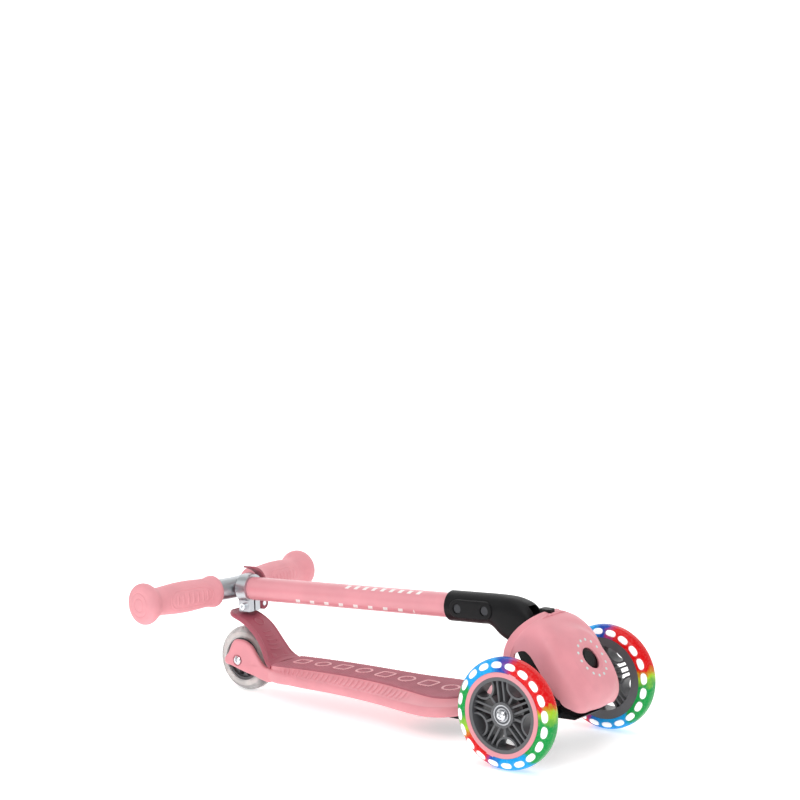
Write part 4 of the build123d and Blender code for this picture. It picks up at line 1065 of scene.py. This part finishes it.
def makeElbow():
    # squared ovals carried along two lines, which close at the nose, with a rounded pad on each side
    mouth = [(at, radius, at, -radius, radius, 2.0) for at, radius in elbow["mouth"]]
    stations = smoothLine(elbow["stations"], 130)
    last = stations[-1]
    centre = (last[0:2] + last[2:4]) / 2
    nose = []
    for share, step in elbow["nose"]:
        forward = centre + np.array(elbow["noseWay"]) * step
        ends = [forward + (last[k:k + 2] - centre) * share for k in (0, 2)]
        nose.append(np.r_[ends[0], ends[1], last[4] * share, last[5]])
    body = loftPiece("stemElbow", inStem(ovalRings(np.vstack([mouth, stations, nose]))), 50)
    rear, front = elbow["screws"]
    pad = stadium(front - rear + 2 * elbow["padHalf"], 2 * elbow["padHalf"], 96)
    rings = padRings(pad, elbow["padFace"], elbow["padRoot"], 1.0, 4)[..., [0, 2, 1]] + ((rear + front) / 2, 0, 0)
    near = loftPiece("elbowPad", inStem(rings), 50)
    far = mirrorCopy(near, "elbowPadFar")
    floor = elbow["wellFloor"]
    for x in elbow["screws"]:
        for piece, low, high in ((near, -30, -floor), (body, -30, -floor), (far, floor, 30), (body, floor, 30)):
            well = turnedRings([(elbow["wellRadius"], low), (elbow["wellRadius"], high)], 48)[..., [0, 2, 1]]
            cutBy(piece, loftPiece("screwWell", inStem(well + (x, 0, 0))))
    pivot = (0, -stem["abovePivot"])
    loop = sectorLoop(pivot, *elbow["sweep"], elbow["reach"], elbow["tongueHalf"])
    slab = np.stack([np.c_[loop, np.full(len(loop), side)] for side in (-elbow["slot"], elbow["slot"])])
    cutBy(body, loftPiece("tongueSlot", inStem(slab[..., [0, 2, 1]])))
    ring = turnedRings([(elbow["pinRoom"], -elbow["slot"]), (elbow["pinRoom"], elbow["slot"])], 64)
    cutBy(body, loftPiece("tongueRound", inStem(ring[..., [0, 2, 1]] + (0, 0, pivot[1]))))
    return finishPiece(joined("stemElbow", [body, near, far]), "blackNylon", "stem", "black_nylon", "stem_socket")


makeElbow()
print("elbow made")

# grips and clamp lever

clampPin = centreOf("cam_pin") - stem["origin"]
clampAlong = clampPin @ stem["along"]
grip = {
    # radius and distance from the grip's inner end
    "profile": [(11.2, 0.6), (12, 0.0), (15.5, 0.2), (17.6, 1.4), (19.2, 4), (19.5, 8), (18.3, 13), (17.8, 20),
                (18.4, 33), (19.0, 48), (18.6, 66), (17.4, 82), (17.0, 91), (18.4, 97.5), (21.6, 102.5),
                (24.2, 107), (24.9, 111.2), (24.1, 115.0), (21.6, 117.8), (17.0, 118.9), (8, 119.6), (0, 119.8)],
    "behindClamp": 21.2, "sweep": 7.6, "start": 33.3, "rows": 330, "sides": 160,
    "padMiddle": 50.0, "padHalf": 31.0, "padWide": 10.5, "ridges": 7, "ridgeRoom": 8.0, "bodyRadius": 18.0,
    "endRings": (14.5, 8.0), "endCut": 0.7,
}


def makeGrip(side, name, node):
    # a turned profile whose radius takes a stadium outline and ridges for the fingers, front and back
    line = smoothLine(grip["profile"], grip["rows"])
    a = turns(grip["sides"])
    r, h = np.maximum(line[:, :1], 0), line[:, 1:]
    wrap = np.minimum(np.abs(np.angle(np.exp(1j * a))), np.abs(np.angle(np.exp(1j * (a - pi)))))
    past = np.maximum(np.abs(h - grip["padMiddle"]) - (grip["padHalf"] - grip["padWide"]), 0)
    edge = np.hypot(past, wrap * grip["bodyRadius"]) - grip["padWide"]
    pitch = 2 * (grip["padHalf"] - grip["ridgeRoom"]) / (grip["ridges"] - 1)
    saw = np.cos(2 * pi * (h - grip["padMiddle"]) / pitch)
    relief = -0.75 * ridge(edge + 0.2, 0.9) - 0.4 * ridge(edge - 3.0, 1.0)
    relief = relief + 0.95 * np.clip(saw, 0, 1) ** 1.5 * (1 - ease(edge, -5.2, -3.4))
    relief = relief * ((h > 12) & (h < 90))
    radius = np.maximum(r + relief, 0)
    cuts = sum(ridge(r - at, 0.9) for at in grip["endRings"]) * grip["endCut"] * (h > 110)
    height = h - cuts + 0 * a
    rings = np.stack([radius * np.cos(a), radius * np.sin(a), height + grip["start"]], -1)
    lean, sideways = radians(grip["sweep"]), np.array((0, side, 0))
    outwards = -sin(lean) * stem["along"] + cos(lean) * sideways
    forward = cos(lean) * stem["along"] + sin(lean) * sideways
    centre = stem["origin"] + (clampAlong - grip["behindClamp"]) * stem["along"]
    points = toAxes(rings, centre, forward, stem["up"], outwards)
    piece = makePiece(name, points.reshape(-1, 3), gridFaces(*rings.shape[:2], False, True), 60)
    return finishPiece(piece, "gripRubber", "bar", "grip_rubber", node)


lever = {
    "radius": 25.0, "thick": 4.4, "rear": -4.7, "front": 7.5, "startPast": 3, "tip": 98.0, "steps": 90,
    "tipThin": 0.45, "tipLift": 2.2, "tipNarrow": (1.0, 2.6), "hollow": 0.5,
    # radius and place along half of the barrel, from its middle out to the dished end
    "barrel": [(7.5, 6.6), (6.9, 7.35), (6.2, 7.5), (5.9, 6.6), (5.2, 6.6), (4.6, 7.4), (3.6, 7.3), (3.1, 6.7)],
}


def makeLever():
    # a flat section with rounded edges carried round an arc about the tube, thinned and flared at its tip,
    # and a turned barrel on the cam pin
    y0, z0 = clampPin[1], clampPin @ stem["up"]
    start = degrees(atan2(z0, y0)) + lever["startPast"]
    angle = np.radians(np.linspace(start, lever["tip"], lever["steps"]))[:, None]
    share = np.linspace(0, 1, lever["steps"])[:, None]
    a = turns(40)
    c, s = np.cos(a), np.sin(a)
    rear = lever["rear"] + lever["tipNarrow"][0] * ease(share, 0.86, 1.0)
    front = lever["front"] - lever["tipNarrow"][1] * ease(share, 0.8, 1.0) ** 2
    centre, half = (rear + front) / 2, (front - rear) / 2
    along = centre + half * np.sign(c) * np.abs(c) ** 0.4
    thick = lever["thick"] * (1 - lever["tipThin"] * ease(share, 0.75, 1.0))
    offset = thick / 2 * np.sign(s) * np.abs(s) ** 0.6
    dish = -lever["hollow"] * (1 - ((along - centre) / half) ** 2) * (offset > 0)
    radius = lever["radius"] + offset + dish + lever["tipLift"] * ease(share, 0.86, 1.0)
    rings = np.stack([along + clampAlong, radius * np.cos(angle), radius * np.sin(angle)], -1)
    blade = loftPiece("leverBlade", inStem(rings), 50)
    half = np.array(lever["barrel"])
    ring = turnedRings(np.vstack([half[::-1] * (1, -1), half]), 56)
    placed = np.stack([ring[..., 2] + clampAlong, ring[..., 0] + y0, ring[..., 1] + z0], -1)
    body = loftPiece("leverBarrel", inStem(placed), 50, closed=True)
    return finishPiece(joined("clampLever", [blade, body]), "rosePlastic", "lever", "rose_plastic",
                       "quick_release_lever")


makeGrip(1, "gripLeft", "grip_left")
makeGrip(-1, "gripRight", "grip_right")
makeLever()
print("grips and lever made")

# front tyres and their light windows

tyre = {
    # radius and place across, from the middle of the seat to the trim ring's groove, then the plain far side
    "seat": 8.9, "groove": [(46.35, 8.95), (46.35, 11.9), (46.6, 12.0)], "farEdge": 11.6, "farStep": 0.4,
    "sides": 160, "windowSides": 20, "windowPower": 2 / 0.72, "windowGrow": (0.25, 0.2),
    # share of the window's size with the height over the tyre
    "windowRings": [(1.0, -2.6), (1.0, 0.02), (0.8, 0.3), (0.42, 0.4)],
}


def makeWindows(node, name, body):
    # squared ovals bent round the wheel, at the height of the tyre's rounded shoulder, on both faces
    wheel = centreOf(node)
    c, s = squaredOval(turns(tyre["windowSides"]), tyre["windowPower"])
    across = c * (lights["long"] / 2 + tyre["windowGrow"][0])
    out = s * (lights["deep"] / 2 + tyre["windowGrow"][1])
    fillet = lights["shoulder"]
    centreR, centreY = lights["radius"] - fillet, lights["wide"] - fillet
    windows = []
    for side in (-1, 1):
        for k in range(lights["count"]):
            turn = 2 * pi * (k + lights["phase"]) / lights["count"]
            rings = []
            for share, rise in tyre["windowRings"]:
                r = lights["circle"] + out * share
                y = centreY + np.sqrt(np.maximum(fillet**2 - np.maximum(r - centreR, 0) ** 2, 0)) + rise
                angle = turn + across * share / lights["circle"]
                rings.append(np.stack([r * np.cos(angle), side * y, r * np.sin(angle)], -1))
            windows.append(loftPiece("window", np.array(rings) + wheel, 60))
    return finishPiece(joined(name, windows), "whiteLight", body, "light_window", node)


def makeTyre(node, name, body, finish):
    # a section turned about the axle, its tread a flat with a quarter circle at each side
    wheel = centreOf(node)
    corners = cornersOf(node) - wheel
    inner = np.hypot(corners[:, 0], corners[:, 2]).min() + 0.05
    fillet = lights["shoulder"]
    a = np.linspace(0, pi / 2, 14)
    shoulder = np.c_[lights["radius"] - fillet + fillet * np.sin(a), lights["wide"] - fillet + fillet * np.cos(a)]
    outer = np.vstack([[(inner, 0), (inner, tyre["seat"])], tyre["groove"], shoulder])
    far = np.vstack([[(inner, tyre["farEdge"]), (inner + tyre["farStep"], lights["wide"])], shoulder])
    ring = turnedRings(np.vstack([outer, far[::-1] * (1, -1)]), tyre["sides"])
    placed = ring[..., [0, 2, 1]] * (1, np.sign(wheel[1]), 1) + wheel
    return finishPiece(loftPiece(name, placed, 40, closed=True), finish, body, "colour_tyre", node)


for side in ("Left", "Right"):
    makeTyre("front_tyre_" + side.lower(), "colourTyre" + side, "wheel_" + side.lower(), "tyre" + side)
for side in ("Left", "Right"):
    makeWindows("light_bars_" + side.lower(), "lightWindows" + side, "wheel_" + side.lower())
print("tyres and light windows made")
